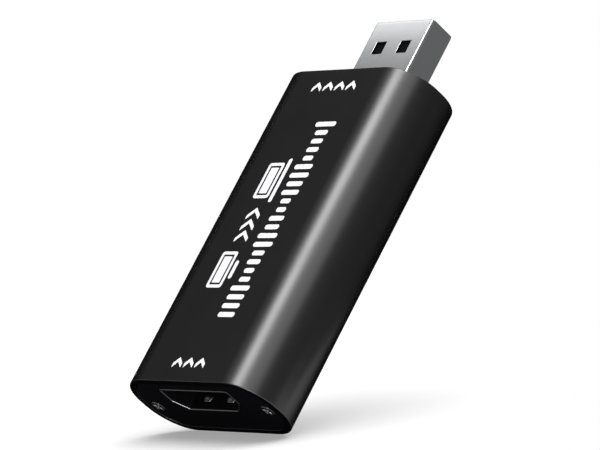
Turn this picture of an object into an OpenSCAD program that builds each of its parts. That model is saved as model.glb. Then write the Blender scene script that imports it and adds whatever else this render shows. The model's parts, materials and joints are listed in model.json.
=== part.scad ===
// Stick-shaped video capture adapter: an oval extruded tube with a plate let into each end, a video
// input socket in one plate and a computer plug standing out of the other, around one circuit board.
// Millimetres. X runs across, Y along the stick towards the plug, Z up. The origin lies under the
// middle of the whole length, on the surface that the stick rests on.

/* [Body] */
// Width across the tube
body_w = 28.5; // [27:0.1:36]
// Height of the tube
body_h = 12.8; // [12.2:0.1:18]
// Length of the tube, without the plug
body_len = 52.4; // [46:0.1:70]
// Radius of the tube's rounded shoulders
body_r = 5.8; // [4:0.1:6]
// Wall thickness of the tube
wall = 1.0; // [0.8:0.05:1.3]

/* [End plates] */
// Thickness of the end plates
plate_t = 1.2; // [1:0.1:2]
// Clearance between a plate and the tube around it
plate_gap = 0.1; // [0.05:0.01:0.15]
// Plate left between a screw's head and the plate's edge
screw_web = 0.45; // [0.3:0.05:1]
// Height of the screws below the middle of the body
screw_drop = 0.5; // [0:0.1:0.9]
// Diameter of a plate screw's shank
screw_d = 1.4; // [1.2:0.1:1.8]
// Diameter of a plate screw's head
head_d = 2.2; // [2:0.1:2.8]
// Depth of a plate screw's countersunk head
head_h = 0.6; // [0.4:0.05:0.9]
// Length of a plate screw
screw_len = 5.0; // [4:0.5:8]
// Length of one arm pair of the driver's cross
cross_l = 1.3; // [0.8:0.1:1.6]
// Width of the driver's cross
cross_w = 0.3; // [0.2:0.05:0.4]
// Depth of the driver's cross
cross_h = 0.4; // [0.2:0.05:0.5]
// Turn of the driver's cross about the screw
cross_turn = 45; // [0:5:45]
// Clearance around a screw in its hole
screw_gap = 0.04; // [0.02:0.01:0.06]

/* [Circuit board] */
// Thickness of the circuit board
board_t = 1.0; // [0.8:0.1:1.6]
// Drop of the board's upper face below the middle of the body
board_drop = 1.9; // [1.6:0.1:2.2]
// Clearance between the board and the slots or plates around it
board_gap = 0.08; // [0.05:0.01:0.15]
// Depth of the tube's board slots
slot_depth = 0.9; // [0.6:0.1:1.4]
// Metal left between a board slot and the screw port beside it
slot_web = 0.55; // [0.4:0.05:0.8]
// Metal left above a screw port and below a board slot
rail_t = 0.7; // [0.5:0.05:1]

/* [Input socket] */
// Inside width of the input socket
socket_w = 14.0; // [13.5:0.1:15]
// Inside height of the input socket
socket_h = 4.55; // [4.4:0.05:4.9]
// Size of the socket's cut-off lower corners
socket_cut = 2.0; // [1.5:0.1:2.2]
// Sheet thickness of the socket's shell
socket_t = 0.3; // [0.25:0.05:0.4]
// Length of the socket's shell
socket_len = 11.0; // [10:0.1:13]
// Depth of the socket's lip behind the end face
socket_recess = 0.05; // [0:0.05:0.5]
// Height of the socket's shell above the board
socket_stand = 0.7; // [0.6:0.05:0.9]
// Clearance between the socket's shell and the end plate
socket_gap = 0.1; // [0.05:0.01:0.2]
// Width of a leg of the socket's shell
leg_w = 1.2; // [0.8:0.1:1.6]
// Depth of a leg's end below the board
leg_out = 0.4; // [0.2:0.1:0.8]
// Distance from the lip to the front pair of legs
leg_front = 3.2; // [2.8:0.1:4]
// Distance between the front and the rear pair of legs
leg_pitch = 5.6; // [4:0.1:6.4]
// Clearance around a leg in its hole
leg_gap = 0.15; // [0.1:0.01:0.2]

/* [Socket insulator and contacts] */
// Width of the socket's tongue
tongue_w = 10.6; // [10:0.1:11]
// Thickness of the socket's tongue
tongue_t = 1.2; // [1:0.05:1.5]
// Depth of the tongue's front behind the lip
tongue_front = 2.4; // [1.6:0.1:3]
// Length of the insulator's block inside the shell
block_len = 2.4; // [1.6:0.1:3]
// Thickness of the insulator's wall behind the shell
back_t = 1.0; // [0.8:0.1:1.5]
// Clearance between an insulator and the shell or contacts in it
fit_gap = 0.03; // [0.02:0.01:0.05]
// Distance between neighbouring contacts of one row
pin_pitch = 1.0; // [0.95:0.01:1.02]
// Count of contacts in the upper row; the lower row has one fewer
pin_count = 10; // [8:1:10]
// Width of a socket contact
pin_w = 0.3; // [0.2:0.02:0.34]
// Thickness of a socket contact
pin_t = 0.2; // [0.15:0.01:0.25]
// Distance from the tongue's front to the contacts' ends
pin_inset = 0.4; // [0.2:0.1:0.8]
// Length of a contact's foot on the board
tail_len = 0.9; // [0.6:0.1:1.2]

/* [Retention springs] */
// Distance of a spring finger from the socket's middle
finger_x = 2.45; // [2:0.05:2.8]
// Width of a spring finger
finger_w = 2.0; // [1.4:0.1:2.4]
// Distance from a finger's bump to its root
finger_len = 4.4; // [3.6:0.1:5]
// Distance from the end plate's inner face to a finger's bump
bump_back = 1.0; // [1:0.1:1.6]
// Outer radius of a finger's bump
bump_r = 0.8; // [0.7:0.05:0.9]
// Height of a finger's bump above the shell's inner face
bump_rise = 0.35; // [0.25:0.05:0.4]
// Clearance between a finger and the edges of its slot
finger_gap = 0.12; // [0.1:0.01:0.2]

/* [Output plug] */
// Width of the output plug
plug_w = 12.0; // [11.6:0.1:12.4]
// Height of the output plug
plug_h = 4.5; // [4.3:0.05:4.8]
// Corner radius of the output plug
plug_r = 0.45; // [0.4:0.05:0.9]
// Sheet thickness of the plug's shell
plug_t = 0.3; // [0.25:0.05:0.35]
// Length of the plug outside the body
plug_out = 12.6; // [11.8:0.1:14]
// Length of the plug behind the end plate
plug_in = 6.2; // [5:0.1:8]
// Height of the plug's middle above the board's upper face
plug_rise = 0.5; // [0.4:0.05:0.7]
// Clearance between the plug and the plate or board around it
plug_gap = 0.1; // [0.05:0.01:0.2]
// Size of the plug's windows across
window_w = 2.1; // [1.8:0.1:2.5]
// Size of the plug's windows along
window_l = 2.15; // [1.8:0.05:2.5]
// Distance of a window's middle from the plug's middle
window_x = 2.55; // [2.2:0.05:2.9]
// Distance of a window's middle from the plug's tip
window_y = 4.7; // [4.2:0.1:5.4]
// Width of the plug's solder wings
wing_w = 1.6; // [1:0.1:2]
// Length of the plug's solder wings
wing_l = 2.6; // [1.6:0.1:3.4]
// Distance from the plug's rear edge to its solder wings
wing_y = 1.4; // [1:0.1:2]
// Thickness of the plug's tongue
plug_tongue_t = 1.9; // [1.85:0.05:2.1]
// Depth of the plug's tongue behind the tip
plug_tongue_in = 0.5; // [0.2:0.1:1]
// Length of the plug insulator's rear block
plug_block = 3.0; // [2:0.1:4]
// Width of a plug contact
plug_pin_w = 1.0; // [0.8:0.05:1.2]
// Thickness of a plug contact
plug_pin_t = 0.25; // [0.2:0.05:0.3]
// Distance of the inner contacts from the plug's middle
plug_pin_inner = 1.0; // [0.95:0.05:1.1]
// Distance of the outer contacts from the plug's middle
plug_pin_outer = 3.5; // [3.3:0.05:3.8]
// Distance from the tip to the ends of the outer contacts
plug_pin_long = 1.4; // [1.2:0.1:1.8]
// Distance from the tip to the ends of the inner contacts
plug_pin_short = 2.4; // [2:0.1:3]
// Length of a plug contact's foot on the board
plug_tail = 1.2; // [0.8:0.1:1.6]

/* [Board components] */
// Clear space between neighbouring rows of components
row_gap = 0.7; // [0.5:0.05:1]
// Side of the capture chip's body
chip_w = 7.0; // [6.6:0.1:7.4]
// Height of the capture chip's body
chip_h = 1.4; // [1:0.1:1.6]
// Distance between neighbouring leads of the capture chip
chip_pitch = 0.4; // [0.36:0.01:0.42]
// Count of leads along one side of the capture chip
chip_lead_count = 16; // [8:1:16]
// Width of a lead of the capture chip
chip_lead_w = 0.18; // [0.12:0.02:0.22]
// Gap between a chip's underside and the board
standoff = 0.1; // [0.05:0.01:0.2]
// Thickness of a chip's leads
lead_t = 0.15; // [0.1:0.01:0.2]
// Reach of a lead's foot out from its chip
lead_out = 1.0; // [0.8:0.05:1.2]
// Distance from a chip's side to the bend of its leads
lead_bend = 0.45; // [0.35:0.05:0.6]
// Diameter of the mark at a chip's first lead
mark_d = 0.7; // [0.4:0.1:1]
// Distance of the mark from the chip's sides
mark_in = 0.9; // [0.7:0.1:1.2]
// Depth of the mark
mark_h = 0.1; // [0.05:0.01:0.15]
// Width of the memory chip's body
memory_w = 3.9; // [3.6:0.1:4.2]
// Length of the memory chip's body
memory_l = 4.9; // [4.6:0.1:5.2]
// Height of the memory chip's body
memory_h = 1.5; // [1.2:0.1:1.7]
// Distance between neighbouring leads of the memory chip
memory_pitch = 1.2; // [1:0.01:1.27]
// Count of leads along one side of the memory chip
memory_lead_count = 4; // [2:1:4]
// Width of a lead of the memory chip
memory_lead_w = 0.42; // [0.3:0.02:0.5]
// Distance of the memory chip from the board's middle line
memory_x = 4.4; // [4:0.1:5]
// Width of the crystal
crystal_w = 3.2; // [2.5:0.1:3.6]
// Length of the crystal
crystal_l = 5.0; // [3.2:0.1:5.2]
// Height of the crystal's ceramic base
crystal_base_h = 0.8; // [0.5:0.1:1]
// Height of the crystal's metal lid
crystal_lid_h = 0.4; // [0.2:0.1:0.6]
// Step from the crystal's base in to its lid
crystal_step = 0.25; // [0.15:0.05:0.4]
// Distance of the crystal from the board's middle line
crystal_x = 3.4; // [3:0.1:5]
// Width of a voltage regulator's body
regulator_w = 2.9; // [2.6:0.1:3.1]
// Length of a voltage regulator's body
regulator_l = 1.6; // [1.4:0.1:1.8]
// Height of a voltage regulator's body
regulator_h = 1.1; // [0.8:0.1:1.3]
// Distance between neighbouring leads of a regulator
regulator_pitch = 0.95; // [0.9:0.01:1]
// Count of a regulator's leads towards the plug; one fewer point towards the socket
regulator_lead_count = 3; // [2:1:3]
// Width of a lead of a regulator
regulator_lead_w = 0.4; // [0.3:0.02:0.5]
// Distance of the regulators from the board's middle line
regulator_x = 3.2; // [2.9:0.1:3.6]
// Count of surge-protection arrays behind the socket
array_count = 4; // [2:1:4]
// Width of a surge-protection array
array_w = 2.5; // [2:0.1:2.7]
// Length of a surge-protection array
array_l = 1.0; // [0.8:0.1:1.3]
// Height of a surge-protection array
array_h = 0.5; // [0.4:0.05:0.8]
// Distance between neighbouring surge-protection arrays
array_pitch = 2.9; // [2.8:0.05:3.2]
// Length of a small ceramic capacitor
cap_l = 1.0; // [0.8:0.05:1.2]
// Width of a small ceramic capacitor
cap_w = 0.5; // [0.4:0.05:0.7]
// Height of a small ceramic capacitor
cap_h = 0.5; // [0.4:0.05:0.7]
// Count of capacitors along each side of the capture chip
cap_count = 5; // [2:1:6]
// Distance between neighbouring capacitors
cap_pitch = 1.3; // [1.1:0.05:1.4]
// Length of a chip resistor
res_l = 1.0; // [0.8:0.05:1.2]
// Width of a chip resistor
res_w = 0.5; // [0.4:0.05:0.7]
// Height of a chip resistor
res_h = 0.35; // [0.25:0.05:0.5]
// Count of resistors in the row behind the capture chip
res_count = 6; // [2:1:8]
// Distance between neighbouring resistors
res_pitch = 1.5; // [1.1:0.05:1.8]
// Length of a bulk capacitor
bulk_l = 3.2; // [2.8:0.1:3.5]
// Width of a bulk capacitor
bulk_w = 1.6; // [1.2:0.1:1.8]
// Height of a bulk capacitor
bulk_h = 1.6; // [1.2:0.1:1.8]
// Distance of the bulk capacitors from the board's middle line
bulk_x = 6.8; // [6.2:0.1:7]
// Length of the ferrite bead
bead_l = 2.0; // [1.6:0.1:2.4]
// Width of the ferrite bead
bead_w = 1.2; // [1:0.1:1.4]
// Height of the ferrite bead
bead_h = 0.9; // [0.6:0.1:1.2]
// Length of the metal ends of resistors, capacitors and the bead
end_l = 0.25; // [0.15:0.01:0.3]

/* [Hidden] */
$fn = 64;
// Overlap that lets a cut pass right through a face
over = 0.5;

// Ends of the tube and of the plug along Y
y_in = -(body_len + plug_out) / 2;
y_out = y_in + body_len;
y_tip = y_out + plug_out;
mid_z = body_h / 2;

// Bore of the tube, and the plates that fit it
bore_w = body_w - 2 * wall;
bore_h = body_h - 2 * wall;
bore_r = body_r - wall;
plate_w = bore_w - 2 * plate_gap;
plate_h = bore_h - 2 * plate_gap;
plate_r = bore_r - plate_gap;

// Screws, their ports and the board's slots in the tube's side rails
screw_r = screw_d / 2;
head_r = head_d / 2;
port_r = screw_r + screw_gap;
screw_x = plate_w / 2 - screw_web - head_r - screw_gap;
screw_z = mid_z - screw_drop;
slot_x = screw_x - port_r - slot_web;
rail_x = slot_x - slot_depth;
board_top = mid_z - board_drop;
board_low = board_top - board_t;
board_w = 2 * (slot_x - board_gap);
rail_low = board_low - board_gap - rail_t;
rail_high = screw_z + port_r + rail_t;
board_y0 = y_in + plate_t + board_gap;
board_y1 = y_out - plate_t - board_gap;

// Input socket, with its lower corners cut off at this angle
corner_cut_angle = 45;
y_lip = y_in + socket_recess;
y_shell = y_lip + socket_len;
socket_low = board_top + socket_stand + socket_t;
socket_z = socket_low + socket_h / 2;
socket_top = socket_low + socket_h;
y_tongue = y_lip + tongue_front;
y_block = y_shell - block_len;
y_back = y_shell + back_t;
tongue_low = socket_z - tongue_t / 2;
tongue_top = socket_z + tongue_t / 2;
y_tail = y_back + fit_gap;
y_tail_end = y_tail + tail_len;
leg_y = [y_lip + leg_front, y_lip + leg_front + leg_pitch];

// Retention springs
y_bump = y_in + plate_t + bump_back;
y_root = y_bump + finger_len;
y_slot = y_bump - bump_r - finger_gap;
y_slot_end = y_root + socket_t / 2 + fit_gap;
// Half widths of the bump's arc where its inner and outer curve cross the finger's faces
bump_in = sqrt(pow(bump_r - socket_t, 2) - pow(bump_r - bump_rise - socket_t, 2));
bump_out = sqrt(pow(bump_r, 2) - pow(bump_r - bump_rise, 2));
bump_join = (bump_in + bump_out) / 2;

// Output plug
plug_z = board_top + plug_rise;
y_plug = y_out - plate_t - plug_in;
plug_top = plug_z + plug_h / 2 - plug_t;
plug_inner_w = plug_w - 2 * plug_t;
plug_inner_h = plug_h - 2 * plug_t;
plug_inner_r = plug_r - plug_t;
plug_tongue_low = plug_top - plug_tongue_t;
y_plug_tongue = y_tip - plug_tongue_in;
y_notch = y_plug - plug_gap;
y_foot = y_plug - fit_gap - plug_pin_t;
y_foot_end = y_foot - plug_tail;

// Rows of components, counted from the socket's contacts and from the plug's contacts
array_y = y_tail_end + row_gap + array_l / 2;
chip_span = chip_w + 2 * lead_out;
chip_y = array_y + array_l / 2 + row_gap + chip_span / 2;
res_y = chip_y + chip_span / 2 + row_gap + res_l / 2;
regulator_span = regulator_l + 2 * lead_out;
regulator_y = y_foot_end - row_gap - max(regulator_span, bulk_l) / 2;
memory_y = regulator_y - max(regulator_span, bulk_l) / 2 - row_gap - max(memory_l, crystal_l) / 2;
cap_x = chip_span / 2 + row_gap + cap_l / 2;

// Outline with four equal round corners
module rounded_rect(w, h, r) {
    square([w - 2 * r, h], center = true);
    square([w, h - 2 * r], center = true);
    for (x = [-1, 1], z = [-1, 1])
        translate([x * (w / 2 - r), z * (h / 2 - r)])
            circle(r);
}

// Extrudes an XZ outline along Y
module along(y0, y1) {
    translate([0, y1, 0])
        rotate([90, 0, 0])
            linear_extrude(y1 - y0)
                children();
}

// Extrudes a YZ outline across X, centred
module across(w) {
    rotate([90, 0, 90])
        linear_extrude(w, center = true)
            children();
}

module block(low, high) {
    translate(low)
        cube(high - low);
}

// A shape and its mirror image on the other side
module both_sides() {
    children();
    mirror([1, 0, 0])
        children();
}

// Copies spaced evenly about the middle line
module row(count, pitch) {
    for (i = [0 : count - 1])
        translate([(i - (count - 1) / 2) * pitch, 0, 0])
            children();
}

// Input socket's D outline, grown by g: wide above, with its lower corners cut off
module socket_outline(g) {
    half = socket_w / 2 + g;
    turn = g * tan(corner_cut_angle / 2);
    side_z = -socket_h / 2 + socket_cut - turn;
    foot = socket_w / 2 - socket_cut + turn;
    high = socket_h / 2 + g;
    translate([0, socket_z])
        polygon([[-half, high], [half, high], [half, side_z], [foot, -high], [-foot, -high], [-half, side_z]]);
}

module plug_outline(g) {
    translate([0, plug_z])
        rounded_rect(plug_w + 2 * g, plug_h + 2 * g, plug_r + g);
}

// Places a screw or its hole in both sides of the input or the output end, pointing outwards
module at_input_screws() {
    for (x = [-screw_x, screw_x])
        translate([x, y_in, screw_z])
            rotate([90, 0, 0])
                children();
}

module at_output_screws() {
    for (x = [-screw_x, screw_x])
        translate([x, y_out, screw_z])
            rotate([-90, 0, 0])
                children();
}

// Countersunk screw with a cross for the driver, its head's face at the local origin
module plate_screw() {
    color("#69696b")
        difference() {
            union() {
                translate([0, 0, -head_h])
                    cylinder(h = head_h, r1 = screw_r, r2 = head_r);
                translate([0, 0, -screw_len])
                    cylinder(h = screw_len - head_h / 2, r = screw_r);
            }
            for (turn = [cross_turn, cross_turn + 90])
                rotate(turn)
                    block([-cross_l / 2, -cross_w / 2, -cross_h], [cross_l / 2, cross_w / 2, over]);
        }
}

module screw_hole() {
    translate([0, 0, -head_h])
        cylinder(h = head_h, r1 = port_r, r2 = head_r + screw_gap);
    translate([0, 0, -plate_t - over])
        cylinder(h = plate_t + over, r = port_r);
}

module plate_blank(y0) {
    along(y0, y0 + plate_t)
        translate([0, mid_z])
            rounded_rect(plate_w, plate_h, plate_r);
}

// Side rail of the tube: a board slot with a screw port above and outside it
module rail_outline() {
    difference() {
        intersection() {
            translate([0, mid_z])
                rounded_rect(body_w - wall, body_h - wall, body_r - wall / 2);
            translate([rail_x, rail_low])
                square([body_w / 2 - rail_x, rail_high - rail_low]);
        }
        translate([rail_x - over, board_low - board_gap])
            square([slot_depth + over, board_t + 2 * board_gap]);
        translate([screw_x, screw_z])
            circle(port_r);
    }
}

module shell_tube() {
    color("#242424")
        union() {
            along(y_in, y_out)
                translate([0, mid_z])
                    difference() {
                        rounded_rect(body_w, body_h, body_r);
                        rounded_rect(bore_w, bore_h, bore_r);
                    }
            both_sides()
                along(y_in + plate_t, y_out - plate_t)
                    rail_outline();
        }
}

module input_end_plate() {
    color("#0c0c0d")
        difference() {
            plate_blank(y_in);
            along(y_in - over, y_in + plate_t + over)
                socket_outline(socket_t + socket_gap);
            at_input_screws()
                screw_hole();
        }
}

module output_end_plate() {
    color("#0c0c0d")
        difference() {
            plate_blank(y_out - plate_t);
            along(y_out - plate_t - over, y_out + over)
                plug_outline(plug_gap);
            at_output_screws()
                screw_hole();
        }
}

module input_plate_screws() {
    at_input_screws()
        plate_screw();
}

module output_plate_screws() {
    at_output_screws()
        plate_screw();
}

module circuit_board() {
    color("#1d5a34")
        difference() {
            block([-board_w / 2, board_y0, board_low], [board_w / 2, board_y1, board_top]);
            // Notch that the plug sinks into
            block([-plug_w / 2 - plug_gap, y_notch, board_low - over],
                  [plug_w / 2 + plug_gap, board_y1 + over, board_top + over]);
            // Holes for the legs of the socket's shell
            both_sides()
                for (y = leg_y)
                    block([socket_w / 2 - leg_gap, y - leg_w / 2 - leg_gap, board_low - over],
                          [socket_w / 2 + socket_t + leg_gap, y + leg_w / 2 + leg_gap, board_top + over]);
        }
}

module input_socket_shell() {
    color("#b9bbbe")
        difference() {
            union() {
                along(y_lip, y_shell)
                    difference() {
                        socket_outline(socket_t);
                        socket_outline(0);
                    }
                both_sides()
                    for (y = leg_y)
                        block([socket_w / 2, y - leg_w / 2, board_low - leg_out],
                              [socket_w / 2 + socket_t, y + leg_w / 2, socket_z]);
            }
            // Slots that free the spring fingers
            both_sides()
                for (z = [socket_low - socket_t, socket_top])
                    block([finger_x - finger_w / 2 - finger_gap, y_slot, z - finger_gap],
                          [finger_x + finger_w / 2 + finger_gap, y_slot_end, z + socket_t + finger_gap]);
        }
}

// Path of one socket contact: along the tongue, through the insulator and down to a foot on the board
module pin_path(top) {
    translate([y_tongue + pin_inset, top - pin_t])
        square([y_tail + pin_t - y_tongue - pin_inset, pin_t]);
    translate([y_tail, board_top])
        square([pin_t, top - board_top]);
    translate([y_tail, board_top])
        square([tail_len, pin_t]);
}

// Channel that a contact lies in, open on the tongue's outer face
module pin_channel(low, high) {
    block([-pin_w / 2 - fit_gap, y_tongue + pin_inset - fit_gap, low],
          [pin_w / 2 + fit_gap, y_back + over, high]);
}

module input_socket_insulator() {
    color("#17171a")
        difference() {
            union() {
                block([-tongue_w / 2, y_tongue, tongue_low], [tongue_w / 2, y_shell, tongue_top]);
                along(y_block, y_shell)
                    socket_outline(-fit_gap);
                block([-tongue_w / 2, y_shell, board_top], [tongue_w / 2, y_back, socket_top - fit_gap]);
            }
            row(pin_count, pin_pitch)
                pin_channel(tongue_top - pin_t - fit_gap, tongue_top + fit_gap);
            row(pin_count - 1, pin_pitch)
                pin_channel(tongue_low - fit_gap, tongue_low + pin_t + fit_gap);
        }
}

module input_contacts_upper() {
    color("#d3ac4e")
        row(pin_count, pin_pitch)
            across(pin_w)
                pin_path(tongue_top);
}

module input_contacts_lower() {
    color("#d3ac4e")
        row(pin_count - 1, pin_pitch)
            across(pin_w)
                pin_path(tongue_low + pin_t);
}

// Spring finger seen from the side, with the inner face of its round root at the origin and its bump
// rising into the socket
module finger_outline() {
    translate([0, -socket_t / 2])
        circle(socket_t / 2);
    translate([bump_join - finger_len, -socket_t])
        square([finger_len - bump_join, socket_t]);
    difference() {
        translate([-finger_len, bump_rise - bump_r])
            difference() {
                circle(bump_r);
                circle(bump_r - socket_t);
            }
        translate([-finger_len - bump_r - over, -socket_t - 2 * bump_r])
            square([2 * (bump_r + over), 2 * bump_r]);
    }
}

module lower_spring(side) {
    color("#c6c8cb")
        translate([side * finger_x, y_root, socket_low])
            across(finger_w)
                finger_outline();
}

module upper_spring(side) {
    color("#c6c8cb")
        translate([side * finger_x, y_root, socket_top])
            mirror([0, 0, 1])
                across(finger_w)
                    finger_outline();
}

module spring_upper_left() {
    upper_spring(-1);
}

module spring_upper_right() {
    upper_spring(1);
}

module spring_lower_left() {
    lower_spring(-1);
}

module spring_lower_right() {
    lower_spring(1);
}

module output_plug_shell() {
    color("#c9cacc")
        difference() {
            union() {
                along(y_plug, y_tip)
                    plug_outline(0);
                // Wings that are soldered to the board on both sides of its notch
                both_sides()
                    block([plug_w / 2 - plug_t, y_plug + wing_y, board_top],
                          [plug_w / 2 + wing_w, y_plug + wing_y + wing_l, board_top + plug_t]);
            }
            along(y_plug - over, y_tip + over)
                translate([0, plug_z])
                    rounded_rect(plug_inner_w, plug_inner_h, plug_inner_r);
            // Windows in the upper and lower face
            both_sides()
                block([window_x - window_w / 2, y_tip - window_y - window_l / 2, plug_z - plug_h / 2 - over],
                      [window_x + window_w / 2, y_tip - window_y + window_l / 2, plug_z + plug_h / 2 + over]);
        }
}

// A shape at each of the plug's contacts, with how far its end lies from the tip
module at_plug_pins() {
    for (pin = [[plug_pin_outer, plug_pin_long], [plug_pin_inner, plug_pin_short]], side = [-1, 1]) {
        $pin_end = y_tip - pin[1];
        translate([side * pin[0], 0, 0])
            children();
    }
}

module output_plug_insulator() {
    color("#111113")
        difference() {
            union() {
                // Tongue in the upper half, which closes the upper windows from inside
                block([-plug_inner_w / 2 + plug_inner_r, y_plug, plug_tongue_low],
                      [plug_inner_w / 2 - plug_inner_r, y_plug_tongue, plug_top - fit_gap]);
                along(y_plug, y_plug + plug_block)
                    translate([0, plug_z])
                        rounded_rect(plug_inner_w - 2 * fit_gap, plug_inner_h - 2 * fit_gap, plug_inner_r);
            }
            at_plug_pins()
                block([-plug_pin_w / 2 - fit_gap, y_plug - over, plug_tongue_low - fit_gap],
                      [plug_pin_w / 2 + fit_gap, $pin_end + fit_gap, plug_tongue_low + plug_pin_t + fit_gap]);
        }
}

// Contacts under the plug's tongue, each with a step down to a foot on the board
module output_plug_contacts() {
    color("#d3ac4e")
        at_plug_pins()
            across(plug_pin_w) {
                translate([y_foot, plug_tongue_low])
                    square([$pin_end - y_foot, plug_pin_t]);
                translate([y_foot, board_top])
                    square([plug_pin_t, plug_tongue_low + plug_pin_t - board_top]);
                translate([y_foot_end, board_top])
                    square([plug_tail + plug_pin_t, plug_pin_t]);
            }
}

// Chip body standing on its leads, with a round mark sunk in one corner
module chip_body(w, l, h) {
    difference() {
        translate([-w / 2, -l / 2, board_top + standoff])
            cube([w, l, h]);
        translate([mark_in - w / 2, mark_in - l / 2, board_top + standoff + h - mark_h])
            cylinder(h = mark_h + over, d = mark_d);
    }
}

// One bent lead that leaves a chip's side at half its height and stands on the board
module lead(w, h) {
    half = standoff + h / 2;
    translate([0, 0, board_top])
        across(w) {
            translate([0, half])
                square([lead_bend, lead_t]);
            translate([lead_bend - lead_t, 0])
                square([lead_t, half + lead_t]);
            translate([lead_bend - lead_t, 0])
                square([lead_out - lead_bend + lead_t, lead_t]);
        }
}

// Leads along the +Y side of a chip that is l long
module lead_row(count, pitch, w, l, h) {
    translate([0, l / 2, 0])
        row(count, pitch)
            lead(w, h);
}

module capture_chip() {
    color("#1c1c1e")
        translate([0, chip_y, 0])
            chip_body(chip_w, chip_w, chip_h);
}

module capture_chip_leads() {
    color("#c3c5c8")
        translate([0, chip_y, 0])
            for (turn = [0 : 90 : 270])
                rotate(turn)
                    lead_row(chip_lead_count, chip_pitch, chip_lead_w, chip_w, chip_h);
}

module memory_chip() {
    color("#1c1c1e")
        translate([-memory_x, memory_y, 0])
            chip_body(memory_w, memory_l, memory_h);
}

module memory_chip_leads() {
    color("#c3c5c8")
        translate([-memory_x, memory_y, 0])
            for (turn = [90, 270])
                rotate(turn)
                    lead_row(memory_lead_count, memory_pitch, memory_lead_w, memory_w, memory_h);
}

module crystal_base() {
    color("#8c7a5e")
        translate([crystal_x - crystal_w / 2, memory_y - crystal_l / 2, board_top])
            cube([crystal_w, crystal_l, crystal_base_h]);
}

module crystal_lid() {
    color("#d0d2d4")
        translate([crystal_x - crystal_w / 2 + crystal_step, memory_y - crystal_l / 2 + crystal_step,
                   board_top + crystal_base_h])
            cube([crystal_w - 2 * crystal_step, crystal_l - 2 * crystal_step, crystal_lid_h]);
}

module at_regulators() {
    for (side = [-1, 1])
        translate([side * regulator_x, regulator_y, 0])
            children();
}

module voltage_regulators() {
    color("#1c1c1e")
        at_regulators()
            translate([-regulator_w / 2, -regulator_l / 2, board_top + standoff])
                cube([regulator_w, regulator_l, regulator_h]);
}

module regulator_leads() {
    color("#c3c5c8")
        at_regulators() {
            lead_row(regulator_lead_count, regulator_pitch, regulator_lead_w, regulator_l, regulator_h);
            rotate(180)
                lead_row(regulator_lead_count - 1, 2 * regulator_pitch, regulator_lead_w, regulator_l,
                         regulator_h);
        }
}

module surge_arrays() {
    color("#26262a")
        translate([0, array_y, board_top])
            row(array_count, array_pitch)
                translate([-array_w / 2, -array_l / 2, 0])
                    cube([array_w, array_l, array_h]);
}

// Body of a two-ended part that lies along X on the board
module two_end_body(l, w, h) {
    translate([end_l - l / 2, -w / 2, board_top])
        cube([l - 2 * end_l, w, h]);
}

module two_end_caps(l, w, h) {
    both_sides()
        translate([l / 2 - end_l, -w / 2, board_top])
            cube([end_l, w, h]);
}

module at_capacitors() {
    for (side = [-1, 1])
        translate([side * cap_x, chip_y, 0])
            rotate(90)
                row(cap_count, cap_pitch)
                    rotate(90)
                        children();
}

module ceramic_capacitors() {
    color("#b08d5f")
        at_capacitors()
            two_end_body(cap_l, cap_w, cap_h);
}

module capacitor_ends() {
    color("#d0d2d4")
        at_capacitors()
            two_end_caps(cap_l, cap_w, cap_h);
}

module at_resistors() {
    translate([0, res_y, 0])
        row(res_count, res_pitch)
            rotate(90)
                children();
}

module chip_resistors() {
    color("#202024")
        at_resistors()
            two_end_body(res_l, res_w, res_h);
}

module resistor_ends() {
    color("#d0d2d4")
        at_resistors()
            two_end_caps(res_l, res_w, res_h);
}

module at_bulk_capacitors() {
    for (side = [-1, 1])
        translate([side * bulk_x, regulator_y, 0])
            rotate(90)
                children();
}

module bulk_capacitors() {
    color("#c9a23a")
        at_bulk_capacitors()
            two_end_body(bulk_l, bulk_w, bulk_h);
}

module bulk_capacitor_ends() {
    color("#d0d2d4")
        at_bulk_capacitors()
            two_end_caps(bulk_l, bulk_w, bulk_h);
}

module at_bead() {
    translate([0, regulator_y, 0])
        rotate(90)
            children();
}

module ferrite_bead() {
    color("#3a3a3e")
        at_bead()
            two_end_body(bead_l, bead_w, bead_h);
}

module ferrite_bead_ends() {
    color("#d0d2d4")
        at_bead()
            two_end_caps(bead_l, bead_w, bead_h);
}

shell_tube();
input_end_plate();
output_end_plate();
input_plate_screws();
output_plate_screws();
circuit_board();
input_socket_shell();
input_socket_insulator();
input_contacts_upper();
input_contacts_lower();
spring_upper_left();
spring_upper_right();
spring_lower_left();
spring_lower_right();
output_plug_shell();
output_plug_insulator();
output_plug_contacts();
capture_chip();
capture_chip_leads();
memory_chip();
memory_chip_leads();
crystal_base();
crystal_lid();
voltage_regulators();
regulator_leads();
surge_arrays();
ceramic_capacitors();
capacitor_ends();
chip_resistors();
resistor_ends();
bulk_capacitors();
bulk_capacitor_ends();
ferrite_bead();
ferrite_bead_ends();
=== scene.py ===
"""Looks of a stick-shaped video capture adapter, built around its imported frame.

All lengths are metres in the part's own frame: X across the stick, Y along it from the input socket
towards the output plug, Z up through the printed face.
"""

import json
import logging
import math
from dataclasses import dataclass
from enum import Enum
from typing import Callable, Iterable, Sequence

import bmesh
import bpy
from mathutils import Matrix, Vector


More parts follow.
